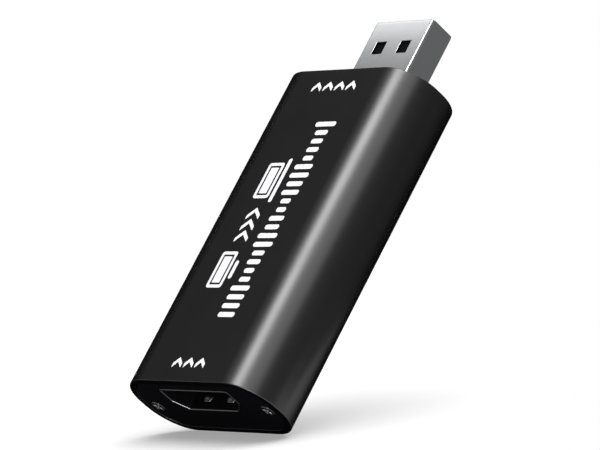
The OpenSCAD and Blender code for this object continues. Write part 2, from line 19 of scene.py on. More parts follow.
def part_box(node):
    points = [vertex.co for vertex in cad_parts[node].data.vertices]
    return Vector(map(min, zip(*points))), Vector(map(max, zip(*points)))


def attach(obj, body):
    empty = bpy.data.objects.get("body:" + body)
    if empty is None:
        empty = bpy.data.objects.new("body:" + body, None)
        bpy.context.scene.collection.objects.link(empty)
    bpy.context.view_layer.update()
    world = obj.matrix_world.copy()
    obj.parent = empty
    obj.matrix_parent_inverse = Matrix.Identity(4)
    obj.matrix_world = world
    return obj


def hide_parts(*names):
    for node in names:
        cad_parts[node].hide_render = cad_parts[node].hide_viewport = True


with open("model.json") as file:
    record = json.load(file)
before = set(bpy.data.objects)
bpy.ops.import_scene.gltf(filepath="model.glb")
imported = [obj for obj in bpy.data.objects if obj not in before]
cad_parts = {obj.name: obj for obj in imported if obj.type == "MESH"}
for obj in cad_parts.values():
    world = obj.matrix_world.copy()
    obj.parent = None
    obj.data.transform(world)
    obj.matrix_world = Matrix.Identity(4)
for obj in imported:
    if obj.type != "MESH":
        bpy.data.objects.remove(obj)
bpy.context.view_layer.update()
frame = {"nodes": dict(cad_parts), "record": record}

Point = tuple[float, float]
Loop = list[Point]
Outline = Callable[[float], Loop]
Place = Callable[[Point, float], Vector]
Ring = list[bmesh.types.BMVert]
Colour = tuple[float, float, float]
Direction = tuple[float, float, float]
Spot = tuple[float, float, float]
Wave = tuple[float, float, float]
Piece = bpy.types.Object
Socket = bpy.types.NodeSocket
Fed = float | Colour | Socket

MM = 0.001
STICK = "stick"
PLUG_SHELL = "plug_shell"
BEVEL_STEPS = 2
NO_RIM: Colour = (0.0, 0.0, 0.0)
BODY_MIDDLE: Spot = (0.0, 0.0, 6.4 * MM)
INPUT_END: Spot = (0.0, -32.0 * MM, 6.4 * MM)
log = logging.getLogger("capture_stick")


class Side(Enum):
    """Side of the stick, seen from the input socket with the print up."""

    LEFT = -1
    RIGHT = 1


class Wall(Enum):
    """Wall of the input socket that a spring is cut from."""

    UPPER = 1
    LOWER = -1


class End(Enum):
    """End of the stick, with the way along Y from its face into the body."""

    INPUT = 1
    OUTPUT = -1


class Along(Enum):
    """Axis that a plate's thickness lies along."""

    X = 0
    Y = 1
    Z = 2


class Signal(Enum):
    """Kind of a socket on a shared effect."""

    NUMBER = "NodeSocketFloat"
    COLOUR = "NodeSocketColor"


class Lit(Enum):
    """What a lamp lights, with the state of the pieces on the lamp's list."""

    OBJECT = "EXCLUDE"
    FLOOR = "INCLUDE"


def word(choice: Enum) -> str:
    """Lower-case name of a choice, as it stands in the names of pieces and nodes."""
    return choice.name.lower()


def spaced(start: float, stop: float, steps: int) -> list[float]:
    """Evenly spaced places from start to stop, one more than the steps between them."""
    return [start + (stop - start) * k / steps for k in range(steps + 1)]


def centred(count: int, pitch: float) -> list[float]:
    """Places of several marks about their middle."""
    return [(k - (count - 1) / 2) * pitch for k in range(count)]


def round_corners(corners: Sequence[Point], radii: Sequence[float], steps: int) -> Loop:
    """Rounds the corners of a closed outline.

    Args:
        corners: Corner points, in order.
        radii: Radius at each corner.
        steps: Straight steps along each corner's arc.

    Returns:
        The outline's points, with steps + 1 of them at each corner.
    """
    loop = []
    for i, (corner, radius) in enumerate(zip(corners, radii)):
        here = Vector(corner)
        back = (Vector(corners[i - 1]) - here).normalized()
        ahead = (Vector(corners[(i + 1) % len(corners)]) - here).normalized()
        half = back.angle(ahead) / 2
        centre = here + (back + ahead).normalized() * (radius / math.sin(half))
        start = here + back * (radius / math.tan(half)) - centre
        stop = here + ahead * (radius / math.tan(half)) - centre
        first = math.atan2(start.y, start.x)
        sweep = (math.atan2(stop.y, stop.x) - first + math.pi) % math.tau - math.pi
        for k in range(steps + 1):
            angle = first + sweep * k / steps
            loop.append((centre.x + radius * math.cos(angle), centre.y + radius * math.sin(angle)))
    return loop


def rounded_rect(width: float, height: float, radius: float, middle: Point, steps: int) -> Outline:
    """Outline of a rectangle with round corners.

    Args:
        width: Size along the outline's first axis.
        height: Size along its second axis.
        radius: Corner radius.
        middle: Centre of the rectangle.
        steps: Straight steps along each corner's arc.

    Returns:
        A function that gives the outline's points when it is grown by a length.
    """

    def grown(grow: float) -> Loop:
        """Points of the rectangle.

        Args:
            grow: Length that it grows by all round.

        Returns:
            The points, in order.
        """
        half_w, half_h = width / 2 + grow, height / 2 + grow
        corners = [(half_w, -half_h), (half_w, half_h), (-half_w, half_h), (-half_w, -half_h)]
        moved = [(middle[0] + a, middle[1] + b) for a, b in corners]
        return round_corners(moved, [radius + grow] * len(moved), steps)

    return grown


def circle(radius: float, middle: Point, steps: int) -> Loop:
    """Points of a circle, counted from its first axis."""
    turns = [math.tau * k / steps for k in range(steps)]
    return [(middle[0] + radius * math.cos(t), middle[1] + radius * math.sin(t)) for t in turns]


def lip(
    outline: Outline, face: float, inward: int, radius: float, steps: int, hole: bool = False
) -> list[tuple[Loop, float]]:
    """Rings that round an edge from a flat end face over into a wall along Y.

    Args:
        outline: Outline of the wall.
        face: Place of the end face along Y.
        inward: Way along Y from the face along the wall, 1 or -1.
        radius: Radius of the edge.
        steps: Straight steps over the edge.
        hole: Whether the wall is that of a hole.

    Returns:
        Outlines and their places along Y, from the face to the wall.
    """
    grow = radius if hole else -radius
    return [
        (outline(grow * (1 - math.sin(t))), face + inward * radius * (1 - math.cos(t)))
        for t in spaced(0.0, math.pi / 2, steps)
    ]


def mirrored(side: Side, along: Along) -> Place:
    """Way to place a plate on one side of the stick.

    Args:
        side: The side. On the left, the right side's plate is mirrored.
        along: Axis of the plate's thickness. Its outline lies in the other two.

    Returns:
        A function that gives a point of the frame for an outline's point and a depth.
    """

    def place(point: Point, depth: float) -> Vector:
        """Point of the frame.

        Args:
            point: Point of the outline.
            depth: Place along the plate's thickness.

        Returns:
            The point.
        """
        spot = list(point)
        spot.insert(along.value, depth)
        return Vector((side.value * spot[0], spot[1], spot[2]))

    return place


class SolidMesh:
    """One piece's mesh, put together from rings of points."""

    def __init__(self) -> None:
        """Starts an empty mesh."""
        self.bm = bmesh.new()

    def ring(self, points: Iterable[Sequence[float]]) -> Ring:
        """Adds a row of points."""
        return [self.bm.verts.new(p) for p in points]

    def end_ring(self, loop: Loop, y: float) -> Ring:
        """Adds an XZ outline at a place along Y."""
        return self.ring((x, y, z) for x, z in loop)

    def face(self, *corners: bmesh.types.BMVert) -> None:
        """Adds one face."""
        self.bm.faces.new(corners)

    def skin(self, rings: Sequence[Ring], round_trip: bool = False, closed: bool = True) -> None:
        """Joins neighbouring rings with faces.

        Args:
            rings: Rings with equal counts of points.
            round_trip: Whether the last ring joins the first one again.
            closed: Whether each ring is a closed loop.
        """
        pairs = list(zip(rings, rings[1:]))
        if round_trip:
            pairs.append((rings[-1], rings[0]))
        for a, b in pairs:
            for i in range(0 if closed else 1, len(a)):
                self.face(a[i - 1], a[i], b[i], b[i - 1])

    def fill(self, *rings: Ring) -> None:
        """Fills a flat area.

        Args:
            rings: The ring round the area, then the rings of any holes in it.
        """
        edges = []
        for ring in rings:
            for a, b in zip(ring, ring[1:] + ring[:1]):
                edges.append(self.bm.edges.get((a, b)) or self.bm.edges.new((a, b)))
        bmesh.ops.triangle_fill(self.bm, use_beauty=True, edges=edges)

    def prism(self, loops: Sequence[Loop], place: Place, depths: Point) -> None:
        """Adds a flat plate with an outline and holes.

        Args:
            loops: The outline, then any holes.
            place: Gives a point of the frame for an outline's point and a depth.
            depths: Depths of the plate's two faces.
        """
        fronts = [self.ring(place(p, depths[0]) for p in loop) for loop in loops]
        backs = [self.ring(place(p, depths[1]) for p in loop) for loop in loops]
        for front, back in zip(fronts, backs):
            self.skin([front, back])
        self.fill(*fronts)
        self.fill(*backs)

    def piece(self, name: str, soft_edge: float = 0.0, sharp_deg: float = 40.0) -> Piece:
        """Turns the mesh into a piece of the scene.

        Args:
            name: Name of the piece.
            soft_edge: Width of the bevel on its sharp edges, or 0 for none.
            sharp_deg: Angle from which an edge is sharp.

        Returns:
            The new object.
        """
        loose = [v for v in self.bm.verts if not v.link_faces]
        bmesh.ops.delete(self.bm, geom=loose, context="VERTS")
        bmesh.ops.recalc_face_normals(self.bm, faces=self.bm.faces)
        mesh = bpy.data.meshes.new(name)
        self.bm.to_mesh(mesh)
        self.bm.free()
        mesh.shade_smooth()
        mesh.set_sharp_from_angle(angle=math.radians(sharp_deg))
        made = bpy.data.objects.new(name, mesh)
        bpy.context.scene.collection.objects.link(made)
        if soft_edge:
            bevel_edges(made, soft_edge, sharp_deg)
        even_shading(made)
        return made


def bevel_edges(piece: Piece, width: float, sharp_deg: float) -> None:
    """Rounds a piece's sharp edges.

    Args:
        piece: The piece.
        width: Width of the bevel.
        sharp_deg: Angle from which an edge is sharp.
    """
    bevel = piece.modifiers.new("soft_edges", "BEVEL")
    bevel.width = width
    bevel.segments = BEVEL_STEPS
    bevel.limit_method = "ANGLE"
    bevel.angle_limit = math.radians(sharp_deg)


def even_shading(piece: Piece) -> None:
    """Keeps large flat faces flat where they meet rounded edges."""
    piece.modifiers.new("even_shading", "WEIGHTED_NORMAL").keep_sharp = True


def settle(
    piece: Piece, material: bpy.types.Material, slot: str | None, *nodes: str, body: str = STICK
) -> None:
    """Gives a new piece its finish, its body and the nodes that it stands for.

    Args:
        piece: The new piece.
        material: Its finish.
        slot: The record's material slot that the finish belongs to, if it has one. Not used.
        nodes: Nodes that the piece replaces.
        body: Body that the piece rides on.
    """
    piece.data.materials.append(material)
    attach(piece, body)
    if nodes:
        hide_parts(*nodes)
    log.info("%s rides on %s in %s", piece.name, body, material.name)


class NodeSheet:
    """A node tree with short calls to add nodes and join them."""

    def __init__(self, tree: bpy.types.NodeTree) -> None:
        """Takes the tree that the calls work on."""
        self.tree = tree

    def set_input(self, target: Socket, value: Fed) -> None:
        """Gives an input its value.

        Args:
            target: The input.
            value: A number, a colour or a socket to join to it.
        """
        if isinstance(value, Socket):
            self.tree.links.new(value, target)
        elif target.type == "RGBA":
            target.default_value = (*value, 1.0)
        else:
            target.default_value = value

    def feed(self, node: bpy.types.Node, values: dict[str, Fed]) -> None:
        """Gives a node's inputs their values.

        Args:
            node: The node.
            values: Values or source sockets, by input name.
        """
        for name, value in values.items():
            self.set_input(next(s for s in node.inputs if s.name == name and s.enabled), value)

    def add(self, kind: str, values: dict[str, Fed] | None = None, **settings: object) -> bpy.types.Node:
        """Adds a node.

        Args:
            kind: The node's type.
            values: Values or source sockets for its inputs, by input name.
            settings: Values for its own properties.

        Returns:
            The new node.
        """
        node = self.tree.nodes.new(kind)
        for name, value in settings.items():
            setattr(node, name, value)
        self.feed(node, values or {})
        return node

    def combine(self, kind: str, *sources: Fed, **settings: object) -> bpy.types.Node:
        """Adds a node whose inputs share a name.

        Args:
            kind: The node's type.
            sources: Values or source sockets for its first inputs, in order.
            settings: Values for its own properties.

        Returns:
            The new node.
        """
        node = self.add(kind, **settings)
        for target, value in zip(node.inputs, sources):
            self.set_input(target, value)
        return node

    def math(self, operation: str, first: Fed, second: Fed = 0.0) -> Socket:
        """Result of an operation on one or two numbers."""
        return self.combine("ShaderNodeMath", first, second, operation=operation).outputs[0]

    def blend(self, share: Socket, first: Fed, second: Fed) -> Socket:
        """Blend of two colours, the first at a share of 0 and the second at 1."""
        node = self.add("ShaderNodeMix", {"Factor": share, "A": first, "B": second}, data_type="RGBA")
        return next(s for s in node.outputs if s.enabled)

    def object_point(self) -> Socket:
        """Place on the piece, in the piece's own coordinates."""
        return self.add("ShaderNodeTexCoord").outputs["Object"]

    def noise(self, where: Socket, scale: Fed, detail: float) -> Socket:
        """Cloudy pattern between 0 and 1."""
        values = {"Vector": where, "Scale": scale, "Detail": detail}
        return self.add("ShaderNodeTexNoise", values).outputs[0]

    def ramp(self, value: Socket, given: Point, wanted: Point = (0.0, 1.0)) -> Socket:
        """Turns one span of values into another and holds what lies outside at its ends.

        Args:
            value: The values.
            given: First and last value of the span.
            wanted: What these two become.

        Returns:
            The new values.
        """
        spans = {"From Min": given[0], "From Max": given[1], "To Min": wanted[0], "To Max": wanted[1]}
        return self.add("ShaderNodeMapRange", {"Value": value, **spans}).outputs[0]

    def relief(self, height: Socket, depth: float) -> Socket:
        """Normals of a surface with a relief of a given depth."""
        return self.add("ShaderNodeBump", {"Height": height, "Distance": depth}).outputs[0]


class Effect:
    """A surface effect that several finishes share: one node group with named inputs and an output."""

    def __init__(self, name: str, inputs: dict[str, float | Colour], output: str, signal: Signal) -> None:
        """Makes the group and its sockets.

        Args:
            name: Name of the group.
            inputs: Default value of each input, a number or a colour.
            output: Name of the output.
            signal: Kind of the output.
        """
        self.tree = bpy.data.node_groups.new(name, "ShaderNodeTree")
        for label, value in inputs.items():
            is_colour = isinstance(value, tuple)
            kind = Signal.COLOUR if is_colour else Signal.NUMBER
            made = self.tree.interface.new_socket(label, in_out="INPUT", socket_type=kind.value)
            made.default_value = (*value, 1.0) if is_colour else value
        self.tree.interface.new_socket(output, in_out="OUTPUT", socket_type=signal.value)
        self.sheet = NodeSheet(self.tree)
        self.given = self.sheet.add("NodeGroupInput").outputs
        self.results = self.sheet.add("NodeGroupOutput").inputs

    def send(self, source: Socket) -> None:
        """Joins a socket to the group's output."""
        self.sheet.set_input(self.results[0], source)

    def place(self, sheet: NodeSheet, **values: float | Colour) -> Socket:
        """Puts the group into a material with its own values and gives its output."""
        return sheet.add("ShaderNodeGroup", values, node_tree=self.tree).outputs[0]


class Effects:
    """The effects that the finishes share."""

    GRAIN_DETAIL = 3.0
    LINE_DETAIL = 2.0
    MARK_DETAIL = 4.0
    MARK_MIDDLE = 0.5
    EDGE_SAMPLES = 6
    EDGE_BEND = (0.995, 0.8)
    PATCH_SCALE = 900.0
    PATCH_DETAIL = 5.0
    PATCH_SPAN = (0.4, 0.7)

    def __init__(self) -> None:
        """Builds each node group once."""
        self.grain = self._grain()
        self.brushing = self._brushing()
        self.handling = self._handling()
        self.wear = self._wear()

    def _grain(self) -> Effect:
        """Fine even grain of a blasted, moulded or plated surface.

        Returns:
            The effect, with the grain's height.
        """
        effect = Effect("fine_grain", {"Scale": 9000.0}, "Height", Signal.NUMBER)
        sheet, given = effect.sheet, effect.given
        effect.send(sheet.noise(sheet.object_point(), given["Scale"], self.GRAIN_DETAIL))
        return effect

    def _brushing(self) -> Effect:
        """Faint lines that run along Y, as rolled or brushed sheet has.

        Returns:
            The effect, with the lines' height.
        """
        effect = Effect("brushed_lines", {"Scale": 6000.0, "Stretch": 0.03}, "Height", Signal.NUMBER)
        sheet, given = effect.sheet, effect.given
        shares = sheet.add("ShaderNodeCombineXYZ", {"X": 1.0, "Y": given["Stretch"], "Z": 1.0}).outputs[0]
        pulled = sheet.combine("ShaderNodeVectorMath", sheet.object_point(), shares, operation="MULTIPLY")
        effect.send(sheet.noise(pulled.outputs[0], given["Scale"], self.LINE_DETAIL))
        return effect

    def _handling(self) -> Effect:
        """Roughness that varies softly where the surface was touched and wiped.

        Returns:
            The effect, with the roughness.
        """
        inputs = {"Roughness": 0.4, "Spread": 0.05, "Scale": 160.0}
        effect = Effect("handling_marks", inputs, "Roughness", Signal.NUMBER)
        sheet, given = effect.sheet, effect.given
        noise = sheet.noise(sheet.object_point(), given["Scale"], self.MARK_DETAIL)
        swing = sheet.math("MULTIPLY", sheet.math("SUBTRACT", noise, self.MARK_MIDDLE), given["Spread"])
        effect.send(sheet.math("ADD", given["Roughness"], swing))
        return effect

    def _wear(self) -> Effect:
        """Colour that gives way to a worn colour in patches along the edges.

        Returns:
            The effect, with the colour.
        """
        inputs = {"Colour": (0.5,) * 3, "Worn": (0.5,) * 3, "Amount": 0.3, "Reach": 0.12 * MM}
        effect = Effect("edge_wear", inputs, "Colour", Signal.COLOUR)
        sheet, given = effect.sheet, effect.given
        near = sheet.add("ShaderNodeBevel", {"Radius": given["Reach"]}, samples=self.EDGE_SAMPLES)
        flat = sheet.add("ShaderNodeNewGeometry").outputs["Normal"]
        bend = sheet.combine("ShaderNodeVectorMath", near.outputs[0], flat, operation="DOT_PRODUCT")
        edge = sheet.ramp(bend.outputs["Value"], self.EDGE_BEND)
        patches = sheet.noise(sheet.object_point(), self.PATCH_SCALE, self.PATCH_DETAIL)
        share = sheet.math("MULTIPLY", edge, sheet.ramp(patches, self.PATCH_SPAN))
        share = sheet.math("MULTIPLY", share, given["Amount"])
        effect.send(sheet.blend(share, given["Colour"], given["Worn"]))
        return effect


def new_material(name: str) -> tuple[bpy.types.Material, NodeSheet, bpy.types.Node]:
    """Starts a material with nothing but its shader and output.

    Args:
        name: Name of the material.

    Returns:
        The material, its nodes and its shader.
    """
    material = bpy.data.materials.new(name)
    material.use_nodes = True
    shader = material.node_tree.nodes["Principled BSDF"]
    return material, NodeSheet(material.node_tree), shader


def lighter(colour: Colour, times: float) -> Colour:
    """A colour made lighter, at most to white."""
    return tuple(min(1.0, times * c) for c in colour)


class Finish:
    """What every finish shares: a name, and a roughness that varies with the marks of handling."""

    name: str
    roughness: float
    marks: float

    def values(self, sheet: NodeSheet, effects: Effects) -> dict[str, Fed]:
        """Gives the shader's other inputs.

        Args:
            sheet: The material's nodes.
            effects: The shared effects.

        Returns:
            Values or source sockets, by input name.
        """
        raise NotImplementedError

    def material(self, effects: Effects) -> bpy.types.Material:
        """Makes the finish's material.

        Args:
            effects: The shared effects.

        Returns:
            The material.
        """
        made, sheet, shader = new_material(self.name)
        sheet.feed(shader, self.values(sheet, effects))
        rough = effects.handling.place(sheet, Roughness=self.roughness, Spread=self.marks)
        sheet.feed(shader, {"Roughness": rough})
        return made


@dataclass(frozen=True)
class CoatedMetal(Finish):
    """Dark coated or anodised metal with a soft sheen."""

    name: str
    colour: Colour
    worn: Colour
    # Painted shade: the darker colour taken by faces that look along Y, so that the end faces reflect less
    # light.
    end_shade: Colour
    roughness: float
    rim_tint: Colour = NO_RIM
    grain_depth: float = 0.0008 * MM
    grain_scale: float = 7000.0
    wear: float = 0.5
    marks: float = 0.06
    # The painted end shade comes in over this span of the normal's share along Y.
    end_shade_turn: Point = (0.9, 0.98)

    def painted_end_shade(self, sheet: NodeSheet) -> Socket:
        """Mask of the faces that look along Y, which take the painted shade of the ends.

        Args:
            sheet: The material's nodes.

        Returns:
            A socket that is 1 where the surface looks along Y.
        """
        facing = sheet.add("ShaderNodeNewGeometry").outputs["Normal"]
        along = sheet.add("ShaderNodeSeparateXYZ", {"Vector": facing}).outputs["Y"]
        return sheet.ramp(sheet.math("ABSOLUTE", along), self.end_shade_turn)

    def values(self, sheet: NodeSheet, effects: Effects) -> dict[str, Fed]:
        """A grained coat, lighter in patches along its edges, with painted shade that darkens the end
        faces looking along Y.

        Args:
            sheet: The material's nodes.
            effects: The shared effects.

        Returns:
            Values or source sockets, by input name.
        """
        colour = effects.wear.place(sheet, Colour=self.colour, Worn=self.worn, Amount=self.wear)
        height = effects.grain.place(sheet, Scale=self.grain_scale)
        return {
            # Painted shade: faces that look along Y get the darker end colour.
            "Base Color": sheet.blend(self.painted_end_shade(sheet), colour, self.end_shade),
            "Normal": sheet.relief(height, self.grain_depth),
            "Metallic": 1.0,
            "Specular Tint": self.rim_tint,
        }


@dataclass(frozen=True)
class Moulded(Finish):
    """Moulded plastic, resin or fired ceramic."""

    name: str
    colour: Colour
    roughness: float
    specular: float = 0.3
    grain_scale: float = 6000.0
    grain_depth: float = 0.004 * MM
    paler: float = 1.8
    wear: float = 0.4
    marks: float = 0.08

    def values(self, sheet: NodeSheet, effects: Effects) -> dict[str, Fed]:
        """A fine moulded grain and paler edges.

        Args:
            sheet: The material's nodes.
            effects: The shared effects.

        Returns:
            Values or source sockets, by input name.
        """
        worn = lighter(self.colour, self.paler)
        height = effects.grain.place(sheet, Scale=self.grain_scale)
        return {
            "Base Color": effects.wear.place(sheet, Colour=self.colour, Worn=worn, Amount=self.wear),
            "Normal": sheet.relief(height, self.grain_depth),
            "Specular IOR Level": self.specular,
        }


@dataclass(frozen=True)
class Plated(Finish):
    """Bare or plated sheet metal with faint rolling lines."""

    name: str
    colour: Colour
    roughness: float
    rim_tint: Colour = (1.0, 1.0, 1.0)
    line_scale: float = 5000.0
    line_depth: float = 0.0015 * MM
    brighter: float = 1.25
    wear: float = 0.6
    marks: float = 0.07

    def values(self, sheet: NodeSheet, effects: Effects) -> dict[str, Fed]:
        """Brighter edges and rolling lines.

        Args:
            sheet: The material's nodes.
            effects: The shared effects.

        Returns:
            Values or source sockets, by input name.
        """
        bright = lighter(self.colour, self.brighter)
        height = effects.brushing.place(sheet, Scale=self.line_scale)
        return {
            "Base Color": effects.wear.place(sheet, Colour=self.colour, Worn=bright, Amount=self.wear),
            "Normal": sheet.relief(height, self.line_depth),
            "Metallic": 1.0,
            "Specular Tint": self.rim_tint,
        }


@dataclass(frozen=True)
class SolderMask(Finish):
    """Green solder mask with copper tracks that show through it."""

    name: str
    colour: Colour
    track: Colour
    track_pitch: float = 0.9 * MM
    track_w: float = 0.15 * MM
    track_l: float = 6.3 * MM
    track_h: float = 0.02 * MM
    roughness: float = 0.28
    marks: float = 0.06

    def values(self, sheet: NodeSheet, effects: Effects) -> dict[str, Fed]:
        """A pattern of straight tracks under a glossy mask.

        Args:
            sheet: The material's nodes.
            effects: The shared effects.

        Returns:
            Values or source sockets, by input name.
        """
        pattern = {
            "Vector": sheet.object_point(),
            "Color1": self.colour,
            "Color2": self.colour,
            "Mortar": self.track,
            "Scale": 1.0,
            "Mortar Size": self.track_w,
            "Brick Width": self.track_l,
            "Row Height": self.track_pitch,
        }
        tracks = sheet.add("ShaderNodeTexBrick", pattern).outputs
        return {
            "Base Color": tracks["Color"],
            "Normal": sheet.relief(tracks["Fac"], self.track_h),
        }


@dataclass(frozen=True)
class PrintInk(Finish):
    """White ink that is printed on the tube, thinner in places."""

    name: str
    colour: Colour
    thin: Colour
    cover_scale: float = 2500.0
    roughness: float = 0.5
    marks: float = 0.08
    specular: float = 0.3

    def values(self, sheet: NodeSheet, effects: Effects) -> dict[str, Fed]:
        """A slightly uneven cover of ink.

        Args:
            sheet: The material's nodes.
            effects: The shared effects.

        Returns:
            Values or source sockets, by input name.
        """
        share = effects.grain.place(sheet, Scale=self.cover_scale)
        return {
            "Base Color": sheet.blend(share, self.colour, self.thin),
            "Specular IOR Level": self.specular,
        }


class Finishes:
    """Every material of the part, by the name of its slot in the record."""

    KINDS = (
        # The black metal's end colour is painted shade on the faces that look along Y.
        CoatedMetal("black_metal", (0.075,) * 3, worn=(0.12,) * 3, end_shade=(0.022,) * 3, roughness=0.34),
        Moulded("plate_black", (0.0025, 0.0025, 0.003), 0.75, specular=0.0),
        Plated("screw_steel", (0.14, 0.14, 0.145), 0.22, rim_tint=NO_RIM),
        SolderMask("board_green", (0.010, 0.085, 0.03), track=(0.03, 0.16, 0.05)),
        Plated("socket_steel", (0.11, 0.111, 0.112), 0.3, rim_tint=NO_RIM),
        Moulded("insulator_black", (0.003, 0.003, 0.0033), 0.6, specular=0.03),
        Plated("contact_gold", (0.7, 0.47, 0.13), 0.22),
        Plated("plug_steel", (0.58, 0.59, 0.6), 0.2),
        Moulded("chip_black", (0.012, 0.012, 0.013), 0.6),
        Plated("tinned_metal", (0.55, 0.56, 0.57), 0.34),
        Moulded("ceramic_brown", (0.26, 0.19, 0.11), 0.5),
        Moulded("ceramic_tan", (0.42, 0.26, 0.11), 0.5),
        Moulded("capacitor_yellow", (0.55, 0.34, 0.04), 0.45),
        Moulded("ferrite_grey", (0.04, 0.04, 0.045), 0.65),
    )
    INK = PrintInk("print_white", (0.82, 0.82, 0.84), thin=(0.7, 0.7, 0.72))

    def __init__(self) -> None:
        """Makes the shared effects, then each material."""
        effects = Effects()
        self.by_slot = {kind.name: kind.material(effects) for kind in self.KINDS}
        self.ink = self.INK.material(effects)

    def __getitem__(self, slot: str) -> bpy.types.Material:
        """The material of one of the record's slots."""
        return self.by_slot[slot]


@dataclass
class Tube:
    """Seamless oval tube, with a rail along each inner side that holds the board and the screws."""

    low: Vector
    high: Vector
    screw_x: float
    screw_z: float
    board_low: float
    board_high: float
    board_half: float
    shoulder_r: float = 5.8 * MM
    wall: float = 1.0 * MM
    edge_r: float = 0.1 * MM
    bore_edge_r: float = 0.04 * MM
    print_t: float = 0.012 * MM
    plate_t: float = 1.2 * MM
    port_r: float = 0.74 * MM
    slot_gap: float = 0.08 * MM
    slot_depth: float = 0.9 * MM
    rail_t: float = 0.7 * MM
    rail_edge: float = 0.05 * MM
    corner_steps: int = 28
    edge_steps: int = 5
    wall_steps: int = 12
    port_steps: int = 32

    @property
    def middle_z(self) -> float:
        """Height of the tube's middle."""
        return (self.low.z + self.high.z) / 2

    @property
    def bore(self) -> Outline:
        """Outline of the tube's bore.

        Returns:
            A function that gives the bore's points when it is grown by a length.
        """
        size = self.high - self.low
        return rounded_rect(
            size.x - 2 * self.wall, size.z - 2 * self.wall, self.shoulder_r - self.wall,
            (0.0, self.middle_z), self.corner_steps,
        )

    def build_shell(self) -> Piece:
        """Makes the tube with rounded end edges, lower on top by the thickness of the print.

        Returns:
            The tube without its rails.
        """
        size = self.high - self.low
        height = size.z - self.print_t
        outer = rounded_rect(
            size.x, height, self.shoulder_r, (0.0, self.low.z + height / 2), self.corner_steps
        )
        steps = self.edge_steps
        near, far = self.low.y, self.high.y
        rings = [
            *lip(outer, near, 1, self.edge_r, steps),
            *reversed(lip(outer, far, -1, self.edge_r, steps)),
            *lip(self.bore, far, -1, self.bore_edge_r, steps, hole=True),
            *reversed(lip(self.bore, near, 1, self.bore_edge_r, steps, hole=True)),
        ]
        solid = SolidMesh()
        solid.skin([solid.end_ring(loop, y) for loop, y in rings], round_trip=True)
        return solid.piece("tube_shell")

    def bore_x(self, z: float) -> float:
        """Half width of the bore at a height.

        Args:
            z: The height.

        Returns:
            The half width.
        """
        radius = self.shoulder_r - self.wall
        half_w = self.high.x - self.wall
        straight = self.middle_z - self.low.z - self.wall - radius
        rise = max(0.0, abs(z - self.middle_z) - straight)
        return half_w - radius + math.sqrt(radius**2 - rise**2)

    def build_rail(self, side: Side) -> Piece:
        """Makes the rail on one inner side, with the board's slot and the screw's port.

        Args:
            side: Side of the tube.

        Returns:
            The rail.
        """
        slot_x = self.board_half + self.slot_gap
        inner_x = slot_x - self.slot_depth
        slot_low, slot_high = self.board_low - self.slot_gap, self.board_high + self.slot_gap
        rail_low, rail_high = slot_low - self.rail_t, self.screw_z + self.port_r + self.rail_t
        loop = [
            (inner_x, rail_low),
            *((self.bore_x(z), z) for z in spaced(rail_low, rail_high, self.wall_steps)),
            (inner_x, rail_high),
            (inner_x, slot_high),
            (slot_x, slot_high),
            (slot_x, slot_low),
            (inner_x, slot_low),
        ]
        port = circle(self.port_r, (self.screw_x, self.screw_z), self.port_steps)
        ends = (self.low.y + self.plate_t, self.high.y - self.plate_t)
        solid = SolidMesh()
        solid.prism([loop, port], mirrored(side, Along.Y), ends)
        return solid.piece(f"tube_rail_{word(side)}", soft_edge=self.rail_edge)

    def dress(self, finishes: Finishes) -> None:
        """Builds the tube's pieces and puts them in place of the solid."""
        for piece in (self.build_shell(), *(self.build_rail(side) for side in Side)):
            settle(piece, finishes["black_metal"], "black_metal", "shell_tube")


